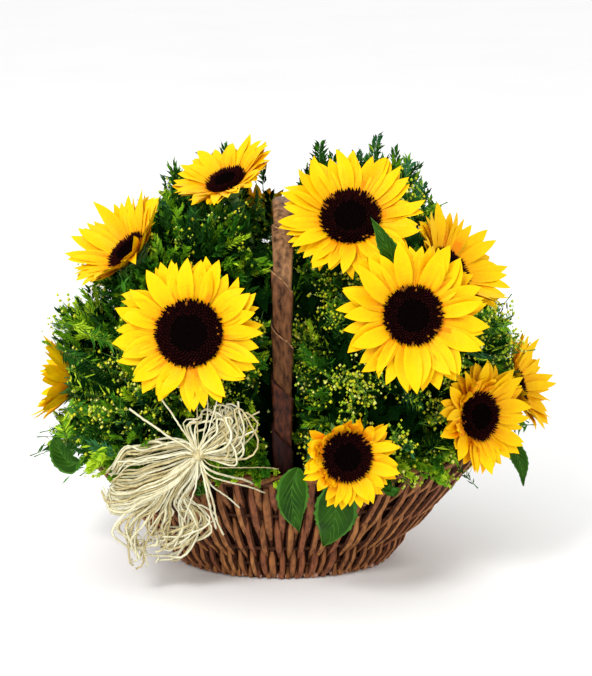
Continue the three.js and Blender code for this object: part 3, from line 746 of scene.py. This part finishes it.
LEAVES = [name for name in frame["nodes"] if name.startswith("leaf_")]
LEAF_ROWS, LEAF_COLUMNS = 30, 13
LEAF_SHAPE = ([0, 0.07, 0.2, 0.38, 0.6, 0.8, 0.92, 1], [0.2, 0.55, 0.93, 1, 0.8, 0.42, 0.17, 0.01])
LEAF_SHARES = np.linspace(0, 1, LEAF_ROWS)  # of its length, at each row
LEAF_VEIN, LEAF_BACK, LEAF_EDGE = 1, 2, 3
VEIN_STARTS = (0.05, 0.12, 0.24, 0.36, 0.48, 0.60, 0.72)  # where side veins leave the middle one
VEIN_HEIGHT = 0.45 * MM


def stations(name, count):
    """Slices a long CAD node across its length: each slice's middle and half-width.

    The length is walked over the mesh's edges from the end that lies farthest from its middle, so the node
    may curl.
    """
    mesh = frame["nodes"][name].data
    points = np.array([v.co[:] for v in mesh.vertices])
    keys, same = np.unique(np.round(points, 5), axis=0, return_inverse=True)
    edges = same.ravel()[np.array([e.vertices[:] for e in mesh.edges])]
    span = np.linalg.norm(keys[edges[:, 0]] - keys[edges[:, 1]], axis=1)
    far = np.full(len(keys), np.inf)
    far[np.argmax(np.linalg.norm(keys - keys.mean(0), axis=1))] = 0
    for _ in range(len(keys)):
        np.minimum.at(far, edges[:, 0], far[edges[:, 1]] + span)
        np.minimum.at(far, edges[:, 1], far[edges[:, 0]] + span)
    middles, halves = [], []
    for cut in np.linspace(0, far.max(), count):
        near = keys[np.abs(far - cut) <= far.max() / count]
        if len(near) < 2:
            near = keys[np.argsort(np.abs(far - cut))[:3]]
        middles.append(near.mean(0))
        halves.append(np.linalg.norm(near - near.mean(0), axis=1).max())
    return np.array(middles), np.array(halves)


class Blade:
    """The surface of one sunflower leaf, which arches along its CAD node."""

    def __init__(self, name, phase):
        middles, halves = stations(name, 6)
        if halves[:2].mean() < halves[-2:].mean():
            middles = middles[::-1]
        ways = node_points(name) - node_points(name).mean(0)
        flat = np.linalg.svd(ways)[2][1]
        self.path = smooth_curve(middles, LEAF_ROWS)
        along = unit(np.gradient(self.path, axis=0))
        self.across = unit(flat - (along @ flat)[:, None] * along)
        self.face = np.cross(self.across, along)
        if self.face[:, 1].mean() > 0:
            self.across, self.face = -self.across, -self.face
        self.spread = 1.12 * np.abs(ways @ flat).max()
        self.phase = phase

    def at(self, t, s):
        """Points at shares t of the blade's length and s of its half-width."""
        place, side, up = (read_off(t, LEAF_SHARES, rows) for rows in (self.path, self.across, self.face))
        half = self.spread * np.interp(t, *LEAF_SHAPE)
        ripple = 1.3 * MM * np.sin(11 * t + 2.5 * s + self.phase) * np.abs(s) ** 1.5
        rise = 0.5 * half * np.abs(s) + ripple - 0.5 * half * np.abs(s) ** 3 * 0.4
        return place + (half * s)[..., None] * side + rise[..., None] * up


def vein(pile, blade, start, end, width):
    """A raised strip along the blade between two (t, s) places."""
    share = np.linspace(0, 1, 9)
    t = start[0] + (end[0] - start[0]) * share
    middle = blade.at(t, start[1] + (end[1] - start[1]) * share**1.15)
    up = read_off(t, LEAF_SHARES, blade.face)
    side = unit(np.cross(unit(np.gradient(middle, axis=0)), up)) * (width * (1.05 - share))[:, None]
    low = middle - 0.1 * MM * up
    pile.add(np.stack([low - side, middle + VEIN_HEIGHT * up, low + side], 1), grid_faces(9, 3), LEAF_VEIN)


def make_leaves():
    tones = [
        surface("leaf_green", (0.008, 0.040, 0.001), (0.030, 0.110, 0.003), 55, 0.45, 0.5, shine=0.1),
        surface("leaf_vein", (0.035, 0.13, 0.008), (0.07, 0.20, 0.015), 90, 0.5, 0.3, shine=0.15),
        surface("leaf_back", (0.03, 0.13, 0.02), (0.07, 0.22, 0.04), 90, 0.6, 0.4),
        surface("leaf_edge", (0.030, 0.12, 0.006), (0.065, 0.20, 0.012), 90, 0.5, 0.3, shine=0.15),
    ]
    rng = np.random.default_rng(31)
    s = np.linspace(-1, 1, LEAF_COLUMNS)
    saw = 1 + 0.045 * ((np.arange(LEAF_ROWS) % 3) - 1)
    sides = np.where(np.abs(s) > 0.9, s * saw[:, None], s)
    shares = np.broadcast_to(LEAF_SHARES[:, None], sides.shape)
    faces = grid_faces(LEAF_ROWS, LEAF_COLUMNS)
    tone = np.zeros((LEAF_ROWS - 1, LEAF_COLUMNS - 1), int)
    tone[:, [0, -1]] = LEAF_EDGE
    for name in LEAVES:
        blade = Blade(name, rng.uniform(0, TAU))
        points = blade.at(shares, sides)
        pile = Pile()
        pile.add(points, faces, tone.ravel())
        pile.add(points - 0.5 * MM * blade.face[:, None], faces[:, ::-1], LEAF_BACK)
        vein(pile, blade, (0.0, 0.0), (0.97, 0.0), 0.9 * MM)
        for start in VEIN_STARTS:
            reach = 0.42 if start == VEIN_STARTS[0] else 0.30
            for side in (-1, 1):
                vein(pile, blade, (start, 0.02 * side), (min(start + reach, 0.96), 0.86 * side), 0.5 * MM)
        pile.piece(name.replace("leaf", "blade"), tones, "leaf", [name])


# ---------------------------------------------------------------- raffia bow

BOW = [name for name in frame["nodes"] if name.startswith("bow_")]
LEFT_STRANDS, RIGHT_STRANDS, TAIL_STRANDS, KNOT_TURNS = 64, 30, 52, 16
KNOT_JITTER = 1.5 * MM
# Loose ends over the basket's front, in mm to the right of the knot and below it.
FRONT_ENDS = ((14, 78), (30, 58), (46, 30), (66, 24), (8, 62), (22, 84), (-16, 70), (58, 46))
# Loose ends among the flowers, in mm above the knot and to its right.
TOP_ENDS = ((62, -4), (56, 10), (52, -36), (40, 40), (30, 48), (20, 52), (34, -52), (60, 22))


def strand(pile, rng, points, width, stray=0.2):
    """A flat strand along a smooth curve. It wanders off the curve as it goes."""
    path = smooth_curve(points, 26)
    drift = np.cumsum(np.cumsum(rng.normal(0, 0.035 * MM, path.shape), 0), 0)
    drift = drift + np.cumsum(rng.normal(0, stray * MM, path.shape), 0)
    tone = rng.integers(0, 3)
    twist = rng.uniform(-0.6, 0.6)
    width = width * rng.uniform(0.6, 1.15)
    face = (twist, -1, 0.4 * twist)
    tube(pile, path + drift * np.array([1, 0.5, 1]), width, sides=4, tone=tone, flat=0.4, face=face)


def from_knot(name, knot, count):
    """The middles and half-widths of a part of the bow, starting at its knot."""
    middles, halves = stations(name, count)
    if np.linalg.norm(middles[0] - knot) > np.linalg.norm(middles[-1] - knot):
        middles, halves = middles[::-1], halves[::-1]
    return middles, halves


def left_loop(rng, knot):
    pile = Pile()
    middles, halves = from_knot("bow_loop_left", knot, 7)
    for _ in range(LEFT_STRANDS):
        s = rng.uniform(-1, 1)
        if 0.05 < s < 0.42 and rng.random() < 0.8:
            s -= 0.5
        depth = rng.uniform(-3, 8) * MM
        path = [knot + rng.normal(0, KNOT_JITTER, 3)]
        for middle, half in zip(middles[1:], halves[1:]):
            spread = s * half * rng.uniform(0.85, 1.05)
            path.append(middle + np.array([0.25 * spread, depth, spread]))
        strand(pile, rng, path, 1.15 * MM)
    return pile


def right_loop(rng, knot):
    pile = Pile()
    middles, halves = from_knot("bow_loop_right", knot, 5)
    for k in range(RIGHT_STRANDS):
        s = rng.uniform(-1.15, 1.0)
        depth = rng.uniform(-5, 6) * MM
        reach = rng.uniform(0.55, 1.12)
        path = [knot + rng.normal(0, KNOT_JITTER, 3)]
        for middle, half in zip(middles[1:], halves[1:]):
            spread = s * half * rng.uniform(0.85, 1.15)
            path.append(knot + (middle - knot) * reach + np.array([spread * 0.8, depth, -spread * 0.6]))
        if k % 5:
            back = np.array([8, 4, -10]) * MM * rng.uniform(0.2, 1.9)
            path += [path[-1] + back, 0.5 * (path[-1] + knot) + back, knot + rng.normal(0, 2 * MM, 3)]
        strand(pile, rng, path, 0.95 * MM)
    return pile


def tails(rng, knot):
    pile = Pile()
    middles, halves = from_knot("bow_tail_left", knot, 5)
    for _ in range(TAIL_STRANDS):
        s = rng.uniform(-1, 1)
        reach = rng.uniform(0.45, 1.08)
        start = knot + rng.normal(0, KNOT_JITTER, 3)
        join = middles[0] + np.array([s * 16, rng.uniform(-5, 3), rng.uniform(-4, 14)]) * MM
        path = [start, 0.5 * (knot + join) + np.array([s * 6, -4, 3]) * MM, join]
        for middle, half in zip(middles[1:], halves[1:]):
            place = middles[0] + (middle - middles[0]) * reach
            sway = np.array([rng.uniform(-4, 4), rng.uniform(-5, 5), 0]) * MM
            path.append(place + sway + np.array([s * half * 1.15, 0, 0]))
        if rng.random() < 0.3:
            path.append(path[-1] + np.array([rng.uniform(-10, 14), -2, rng.uniform(-6, 8)]) * MM)
        strand(pile, rng, path, 1.1 * MM, stray=0.32)
    front = -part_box("basket_border")[1].y * 1.12
    for reach, drop in FRONT_ENDS:
        bend = rng.uniform(-12, 12)
        path = [
            knot,
            knot + np.array([0.35 * reach + bend, -4, -0.4 * drop]) * MM,
            [knot[0] + 0.75 * reach * MM, front, knot[2] - 0.8 * drop * MM],
            [knot[0] + reach * MM, front + 8 * MM, knot[2] - drop * MM],
        ]
        strand(pile, rng, path, 1.0 * MM)
    return pile


def knot_turns(rng, knot, size):
    pile = Pile()
    turn = np.linspace(0, TAU, 14)[:, None]
    for _ in range(KNOT_TURNS):
        tilt = rng.uniform(0, math.pi)
        axis = np.array([math.cos(tilt), 0, math.sin(tilt)])
        ring = np.cos(turn) * axis + np.sin(turn) * np.array([0, -1.0, 0])
        path = knot + ring * size * rng.uniform(0.75, 1.0)
        tube(pile, path, 1.3 * MM, sides=4, tone=rng.integers(0, 3), flat=0.5)
    for rise, side in TOP_ENDS:
        bend = rng.uniform(-8, 8)
        steps = ([0, 0, 0], [0.5 * side + bend, -3, 0.6 * rise], [side, 4, rise])
        strand(pile, rng, knot + np.array(steps) * MM, 0.9 * MM)
    return pile


def make_bow():
    skin = dict(scale=240, roughness=0.6, bump=0.5, stretch=(1, 1, 0.3))
    tones = [
        surface("raffia_pale", (0.62, 0.56, 0.33), (0.82, 0.77, 0.52), **skin),
        surface("raffia_cream", (0.7, 0.66, 0.42), (0.9, 0.86, 0.64), **skin),
        surface("raffia_straw", (0.42, 0.34, 0.14), (0.68, 0.58, 0.3), **skin),
    ]
    rng = np.random.default_rng(41)
    low, high = node_box("bow_knot")
    knot = 0.5 * (low + high)
    left_loop(rng, knot).piece("raffia_loop_left", tones, "raffia", ["bow_loop_left"])
    right_loop(rng, knot).piece("raffia_loop_right", tones, "raffia", ["bow_loop_right"])
    tails(rng, knot).piece("raffia_tails", tones, "raffia", ["bow_tail_left"])
    knot_turns(rng, knot, 0.5 * (high - low)).piece("raffia_knot", tones, "raffia", ["bow_knot"])


# ---------------------------------------------------------------- filler foliage

MASSES = [name for name in frame["nodes"] if name.startswith("foliage_")]

# How often each kind of spray grows out of each mass.
MIX = {
    "foliage_front_left": dict(plume=6, buds=4, frond=3, twiggy=1),
    "foliage_left": dict(plume=9, buds=2, frond=2, twiggy=1),
    "foliage_top_left": dict(twiggy=6, buds=1, frond=4, plume=2),
    "foliage_top_right": dict(frond=5, buds=3, twiggy=2, plume=1),
    "foliage_front_right": dict(buds=6, frond=4, plume=1),
    "foliage_right": dict(buds=5, frond=3, twiggy=1, plume=1),
    "foliage_back_left": dict(twiggy=3, buds=3, frond=3, plume=3),
    "foliage_back_right": dict(twiggy=3, buds=3, frond=3, plume=2),
}

# Masses that are more open than the rest, and the share of sprays that they keep.
OPEN = {"foliage_front_right": 0.66, "foliage_right": 0.8}

# The leaves' tones, in the order of their materials. PAINTED_SHADE is painted shade: near-black, for the
# leaves deep inside and for some sprays, whose leaves stand for shaded hollows.
DEEP, MID, BRIGHT, YELLOW, BLUE, PAINTED_SHADE = range(6)
PLUME_TONES = (BRIGHT, YELLOW, BRIGHT, MID, YELLOW, DEEP)
FROND_TONES = (MID, DEEP, BRIGHT, BLUE, DEEP, PAINTED_SHADE)
TWIGGY_TONES = (MID, DEEP, DEEP, BRIGHT)
BUDS_TONES = (DEEP, PAINTED_SHADE, PAINTED_SHADE, MID)
CURLY_TONES = (BRIGHT, MID, BRIGHT, YELLOW)

# Each kind: leaves on a spray, their length and width in mm, how wide they stand from the twig in degrees,
# the twig's length in mm, how flat the spray is, and the tones its leaves may take.
KINDS = {
    "plume": dict(leaves=84, length=9.5, width=1.5, spread=42, reach=46, flat=0.2, tones=PLUME_TONES),
    "frond": dict(leaves=54, length=14, width=2.6, spread=58, reach=52, flat=0.9, tones=FROND_TONES),
    "twiggy": dict(leaves=34, length=14, width=3.8, spread=46, reach=54, flat=0.5, tones=TWIGGY_TONES),
    "buds": dict(leaves=18, length=8, width=1.4, spread=40, reach=50, flat=0.1, tones=BUDS_TONES),
    "curly": dict(leaves=50, length=9, width=4.2, spread=60, reach=28, flat=0.2, tones=CURLY_TONES),
}
BUD_STEMS = 20  # on each spray of buds
BUD_MIX = (0.4, 0.42, 0.18)  # shares of the buds' three tones
SPRAYS = 340  # roots on each mass
CURLY_BELOW = BORDER_TOP + 22 * MM  # height below which most sprays at the front are curly
CURLY_BEFORE = -75 * MM
INNER_LEAVES = 1300  # in each mass
INNER_DEPTH = 15 * MM
CORE_LEAVES = 1800
CORE_SHARE = np.array([0.56, 0.52, 0.78])  # size of the core, as shares of all the masses together
OVERHANG = 8 * MM  # sprays end up to this far outside their mass
RIM_FALL = 14 * MM  # how far greens hang down over the rim
RIM_CLUMPS = (-108, -99, -46, -10, 30, 75, 118, 160, 200)  # degrees round the rim where greens spill over it
RIM_SPRAYS = 22  # in each clump
TALL_SPRIGS_FROM = 290 * MM  # height above which sprigs at the back stand up out of the rest
TALL_SPRIGS_BEHIND = 40 * MM
BEHIND_HANDLE = 35 * MM  # within this of the middle they stand taller, and close the view past the handle

# Half the width and depth of the room that a hand needs under the handle, and its lower edge. It is the
# opening in the record with a little more room.
OPENING_LOW, OPENING_HIGH = frame["record"]["physics"]["openings"][0]["box_m"]
GRIP = (OPENING_HIGH[0] + 1 * MM, OPENING_HIGH[1] + 3 * MM, OPENING_LOW[2] - 1 * MM)

# Blooms that face away from the front, which the foliage before them leaves in sight.
SHOWN_PETALS = [f"bloom_{number}_petals" for number in (1, 2, 3, 7, 10)]

# Room that leaves keep before a leaf or the bow: from its box's low corner, and back from its high one.
BEFORE_LOW, BEFORE_HIGH = np.array([1, -60, 1]) * MM, np.array([1, 0, 1]) * MM


def hull():
    """A search tree over the faces of all the masses."""
    points, faces = [], []
    for name in MASSES:
        mesh = frame["nodes"][name].data
        faces += [[len(points) + v for v in polygon.vertices] for polygon in mesh.polygons]
        points += [v.co.copy() for v in mesh.vertices]
    return BVHTree.FromPolygons(points, faces)


def outer_samples(name, count, rng, tree):
    """Points spread over the faces of a mass that face outwards, and the faces' normals."""
    mesh = frame["nodes"][name].data
    mesh.calc_loop_triangles()
    corners = np.array([[mesh.vertices[v].co[:] for v in t.vertices] for t in mesh.loop_triangles])
    cross = np.cross(corners[:, 1] - corners[:, 0], corners[:, 2] - corners[:, 0])
    area = np.linalg.norm(cross, axis=1)
    picks = rng.choice(len(corners), 4 * count, p=area / area.sum())
    a, b = np.sqrt(rng.random(4 * count)), rng.random(4 * count)
    share = np.stack([1 - a, a * (1 - b), a * b], 1)
    points = (corners[picks] * share[..., None]).sum(1)
    normals = unit(cross[picks])
    free = []
    for point, normal in zip(points, normals):
        hit = tree.ray_cast(Vector(point + 0.5 * MM * normal), Vector(normal), 70 * MM)
        free.append(hit[0] is None)
    return points[free][:count], normals[free][:count]


def well_inside(place, tree):
    """True if a point lies deep enough in a mass for a large near-black leaf of painted shade."""
    near, normal, _, distance = tree.find_nearest(Vector(place))
    return distance > INNER_DEPTH and (Vector(place) - near).dot(normal) < 0


def hoop_distance(y, z):
    """How far points are from the middle line of the handle's hoop, seen from its side."""
    return np.abs(np.hypot(y, np.maximum(z - HOOP_SPRING, 0)) - HOOP_RADIUS)


def is_clear(points):
    """True where a leaf may be: not before a bloom or the bow, not in the handle, the grip or the wall."""
    bad = np.zeros(len(points), bool)
    for bloom in blooms:
        bad |= bloom.hides(points)
    x, y, z = points.T
    # The hoop, the strip of its front leg that shows, and the room for a hand.
    bad |= (np.abs(x) < 0.5 * HANDLE_WIDTH + 2 * MM) & (hoop_distance(y, z) < 8 * MM)
    bad |= (np.abs(x) < 0.5 * HANDLE_WIDTH + 1 * MM) & (y < -80 * MM) & (z > 150 * MM)
    bad |= (np.abs(x) < GRIP[0]) & (np.abs(y) < GRIP[1]) & (z > GRIP[2])
    # The wall, from 9 mm inside its outline to 6 mm outside it, and the air outside below the rim.
    share = np.clip(z / BASKET_HEIGHT, 0, 1)[:, None]
    half = FOOT * (1 - share) + MOUTH * share - 9 * MM
    inside = ((points[:, :2] / half) ** 2).sum(1) < 1
    outside = ((points[:, :2] / (half + 15 * MM)) ** 2).sum(1) > 1
    bad |= (z < BORDER_TOP + 1 * MM) & ~inside & ~outside
    bad |= (z < BORDER_TOP - RIM_FALL) & outside
    for name in BOW + LEAVES:
        low, high = node_box(name)
        bad |= ((points > low + BEFORE_LOW) & (points < high - BEFORE_HIGH)).all(1)
    for name in SHOWN_PETALS:
        low, high = node_box(name)
        middle, half = 0.5 * (low + high), 0.5 * (high - low)
        seen = (((points - middle) / half)[:, [0, 2]] ** 2).sum(1) < 0.8
        bad |= seen & (y < middle[1] + 0.6 * half[1]) & (y > low[1] - 80 * MM)
    return ~bad


def add_leaves(pile, foot, along, face, length, width, tone):
    """Many small folded leaves, each five points and four triangles."""
    foot, along, face = (a.reshape(-1, 3) for a in (foot, along, face))
    length, width, tone = (a.reshape(-1, 1) for a in (length, width, tone))
    keep = is_clear(foot + along * (0.9 * length)) & is_clear(foot + along * (0.35 * length))
    foot, along, face, length, width, tone = (a[keep] for a in (foot, along, face, length, width, tone))
    face = unit(face - (face * along).sum(1, keepdims=True) * along)
    middle = foot + along * 0.45 * length
    side = np.cross(along, face) * 0.5 * width
    fold = face * 0.28 * width
    tip = foot + along * length - face * 0.14 * length
    points = np.stack([foot, middle - side + fold, middle, middle + side + fold, tip], 1)
    pile.scatter(points, tone[:, 0], [[0, 2, 1], [0, 3, 2], [1, 2, 4], [2, 3, 4]])


def add_twigs(pile, starts, ends, radius, tone):
    """Many straight three-sided twigs that thin out to a point."""
    keep = is_clear(ends) & is_clear(0.5 * (starts + ends))
    starts, ends = starts[keep], ends[keep]
    along = unit(ends - starts)
    across = unit(np.cross(along, [0.3, 0.2, 0.9]))
    up = np.cross(across, along)
    turns = (0, TAU / 3, 2 * TAU / 3)
    corners = [starts + radius * (math.cos(a) * across + math.sin(a) * up) for a in turns]
    pile.scatter(np.stack([*corners, ends], 1), tone, [[0, 1, 3], [1, 2, 3], [2, 0, 3]])


def add_buds(pile, places, radius, rng):
    """Many tiny eight-sided buds."""
    tone = rng.choice(len(BUD_MIX), len(places), p=BUD_MIX)
    keep = is_clear(places)
    corners = np.array([[1, 0, 0], [-1, 0, 0], [0, 1, 0], [0, -1, 0], [0, 0, 1.2], [0, 0, -1.0]])
    faces = [[0, 2, 4], [2, 1, 4], [1, 3, 4], [3, 0, 4], [2, 0, 5], [1, 2, 5], [3, 1, 5], [0, 3, 5]]
    pile.scatter(places[keep][:, None] + radius[keep][:, None, None] * corners, tone[keep], faces)


def random_ways(rng, *shape):
    return unit(rng.normal(0, 1, (*shape, 3)))


def grow_sprays(kind, roots, normals, rng, leaves, twigs, buds):
    """Sprays of one kind. Each twig starts under the surface, bends a little and ends near it."""
    rule = KINDS[kind]
    count, number = len(roots), rule["leaves"]
    reach = MM * rule["reach"] * rng.uniform(0.75, 1.2, count)[:, None]
    way = unit(normals + 0.32 * random_ways(rng, count) + 0.18 * UP)
    tip = roots + OVERHANG * way * rng.uniform(-0.6, 1.0, count)[:, None]
    bend = tip - way * 0.5 * reach + unit(np.cross(way, random_ways(rng, count))) * 0.12 * reach
    foot, bend, tip = (a[:, None] for a in (tip - way * reach, bend, tip))
    tone = rng.choice(rule["tones"], count)[:, None].repeat(number, 1)

    t = (0.12 + 0.88 * (np.arange(number) + 0.5) / number)[None, :, None]
    place = bezier(t, foot, bend, tip)
    ahead = unit(bezier(t, bend - foot, tip - bend))
    plane = unit(np.cross(way, random_ways(rng, count)))[:, None]
    third = unit(np.cross(ahead, plane))
    turn = (np.arange(number) * GOLDEN_ANGLE)[None, :, None] + rng.uniform(0, TAU, (count, 1, 1))
    round_way = np.cos(turn) * plane + np.sin(turn) * third
    side_way = np.where((np.arange(number) % 2)[None, :, None] > 0, plane, -plane)
    radial = rule["flat"] * side_way + (1 - rule["flat"]) * round_way
    radial = unit(radial + 0.15 * rng.normal(0, 1, place.shape))
    spread = np.radians(rule["spread"]) * rng.uniform(0.7, 1.2, (count, number, 1)) * (1.08 - 0.5 * t)
    along = unit(np.cos(spread) * ahead + np.sin(spread) * radial)
    face = unit(third + 0.5 * rng.normal(0, 1, place.shape))
    length = MM * rule["length"] * (1.15 - 0.55 * t[..., 0]) * rng.uniform(0.7, 1.25, (count, number))
    width = MM * rule["width"] * rng.uniform(0.75, 1.2, (count, number))
    brighter = rng.random((count, number)) < 0.12
    tone = np.where(brighter, np.minimum(tone + 1, YELLOW), tone)
    add_leaves(leaves, place, along, face, length, width, tone)

    line = bezier(np.linspace(0, 1, 4)[None, :, None], foot, bend, tip)
    for k in range(3):
        start, end = line[:, k], line[:, k + 1]
        add_twigs(twigs, start, end + 0.1 * (end - start), 0.7 * MM, 0)

    if kind == "buds":
        start = bezier(rng.uniform(0.35, 1, (count, BUD_STEMS, 1)), foot, bend, tip)
        aim = unit(way[:, None] + random_ways(rng, count, BUD_STEMS))
        end = (start + aim * MM * rng.uniform(6, 17, (count, BUD_STEMS, 1))).reshape(-1, 3)
        add_twigs(twigs, start.reshape(-1, 3), end, 0.4 * MM, 1)
        size = MM * rng.uniform(0.9, 1.9, len(end))
        add_buds(buds, end, size, rng)
        near = rng.random(len(end)) < 0.4
        where = end[near] + rng.normal(0, 2.2 * MM, (near.sum(), 3))
        add_buds(buds, where, 0.7 * size[near], rng)


def rim_roots(rng):
    """Where the sprays that spill over the rim start, and the way they go."""
    angle = np.radians(np.repeat(RIM_CLUMPS, RIM_SPRAYS) + rng.normal(0, 6, len(RIM_CLUMPS) * RIM_SPRAYS))
    roots = outline(angle, BASKET_HEIGHT, MM * rng.uniform(-9, 6, len(angle)))
    outwards = unit(roots * np.array([1, 1, 0]))
    roots[:, 2] = BORDER_TOP + MM * rng.uniform(-7, 6, len(angle))
    return roots, unit(outwards - 0.4 * UP)


def grow_mass(name, rng, tree, leaves, twigs, buds):
    """The sprays of one mass, the taller sprigs at its back and the large near-black leaves of painted shade
    inside it.
    """
    roots, normals = outer_samples(name, int(SPRAYS * OPEN.get(name, 1)), rng, tree)
    kinds = list(MIX[name])
    share = np.array([MIX[name][k] for k in kinds], float)
    kind = np.array(kinds)[rng.choice(len(kinds), len(roots), p=share / share.sum())]
    rim = (roots[:, 2] < CURLY_BELOW) & (roots[:, 1] < CURLY_BEFORE) & (rng.random(len(roots)) < 0.7)
    kind = np.where(rim, "curly", kind)
    for each in KINDS:
        chosen = kind == each
        if chosen.any():
            grow_sprays(each, roots[chosen], normals[chosen], rng, leaves, twigs, buds)

    tall = (roots[:, 2] > TALL_SPRIGS_FROM) & (roots[:, 1] > TALL_SPRIGS_BEHIND)
    if tall.any():
        extra = np.where(np.abs(roots[tall, :1]) < BEHIND_HANDLE, 1.9, 1.0)
        raised = roots[tall] + UP * MM * extra * rng.uniform(8, 26, (tall.sum(), 1))
        grow_sprays("frond", raised, unit(normals[tall] + 2 * UP), rng, leaves, twigs, buds)

    picks, inwards = outer_samples(name, INNER_LEAVES, rng, tree)
    places = picks - inwards * (rng.uniform(18, 50, len(picks))[:, None] * MM)
    deep = [well_inside(place, tree) for place in places]
    places, inwards = places[deep], inwards[deep]
    count = len(places)
    way = random_ways(rng, count)
    along = unit(way - (way * inwards).sum(1, keepdims=True) * inwards * 0.8)
    length, width = MM * rng.uniform(14, 24, count), MM * rng.uniform(9, 14, count)
    add_leaves(leaves, places, along, inwards + 0.4 * way, length, width, np.full(count, PAINTED_SHADE))


def grow_core(rng, leaves):
    """Near-black leaves of painted shade round the stems, in the shaded middle between the masses."""
    points = np.concatenate([node_points(name) for name in MASSES])
    low, high = points.min(0), points.max(0)
    way = random_ways(rng, CORE_LEAVES)
    middle = 0.5 * (low + high) - 0.08 * (high - low) * UP
    places = middle + way * 0.5 * (high - low) * CORE_SHARE * rng.uniform(0.75, 1, (CORE_LEAVES, 1))
    length, width = MM * rng.uniform(20, 34, CORE_LEAVES), MM * rng.uniform(12, 18, CORE_LEAVES)
    turned = unit(np.cross(way, random_ways(rng, CORE_LEAVES)))
    add_leaves(leaves, places, turned, way, length, width, np.full(CORE_LEAVES, PAINTED_SHADE))


def make_foliage():
    greens = [
        surface("green_deep", (0.007, 0.042, 0.003), (0.017, 0.085, 0.006), 60, 0.55, shine=0.08),
        surface("green_mid", (0.028, 0.14, 0.006), (0.06, 0.22, 0.012), 60, 0.5, shine=0.12),
        surface("green_bright", (0.10, 0.29, 0.006), (0.20, 0.43, 0.012), 60, 0.5, shine=0.12),
        surface("green_yellow", (0.32, 0.52, 0.010), (0.50, 0.70, 0.03), 60, 0.5, shine=0.12),
        surface("green_blue", (0.018, 0.10, 0.03), (0.04, 0.17, 0.05), 60, 0.55, shine=0.12),
        # Painted shade: near-black, for the leaves deep in the masses and in the core, and for some sprays.
        surface("green_inner", (0.002, 0.012, 0.002), (0.005, 0.025, 0.003), 60, 0.9, shine=0),
    ]
    twig_tones = [
        surface("twig_green", (0.03, 0.10, 0.015), (0.07, 0.18, 0.03), 200, 0.6, shine=0.12),
        surface("twig_pale", (0.10, 0.24, 0.02), (0.18, 0.36, 0.04), 200, 0.6, shine=0.12),
    ]
    bud_tones = [
        surface("bud_yellow", (0.52, 0.52, 0.01), (0.76, 0.72, 0.03), 300, 0.6, shine=0.15),
        surface("bud_lime", (0.30, 0.47, 0.01), (0.48, 0.64, 0.03), 300, 0.6, shine=0.15),
        surface("bud_cream", (0.66, 0.70, 0.12), (0.86, 0.86, 0.24), 300, 0.6, shine=0.15),
    ]
    tree = hull()
    rng = np.random.default_rng(51)
    for name in MASSES:
        leaves, twigs, buds = Pile(), Pile(), Pile()
        grow_mass(name, rng, tree, leaves, twigs, buds)
        where = name.replace("foliage_", "")
        leaves.piece(f"leaves_{where}", greens, "foliage", [name], smooth=False)
        twigs.piece(f"twigs_{where}", twig_tones, "foliage", smooth=False)
        if buds.count:
            buds.piece(f"buds_{where}", bud_tones, "foliage")

    leaves, twigs = Pile(), Pile()
    grow_sprays("curly", *rim_roots(rng), rng, leaves, twigs, None)
    leaves.piece("leaves_rim", greens, "foliage", smooth=False)
    twigs.piece("twigs_rim", twig_tones, "foliage", smooth=False)

    core = Pile()
    grow_core(rng, core)
    core.piece("leaves_core", greens, "foliage", smooth=False)


# ---------------------------------------------------------------- run

make_camera()
make_studio()
make_blooms()
make_basket()
make_handle()
paint_foam()
make_leaves()
make_bow()
make_foliage()
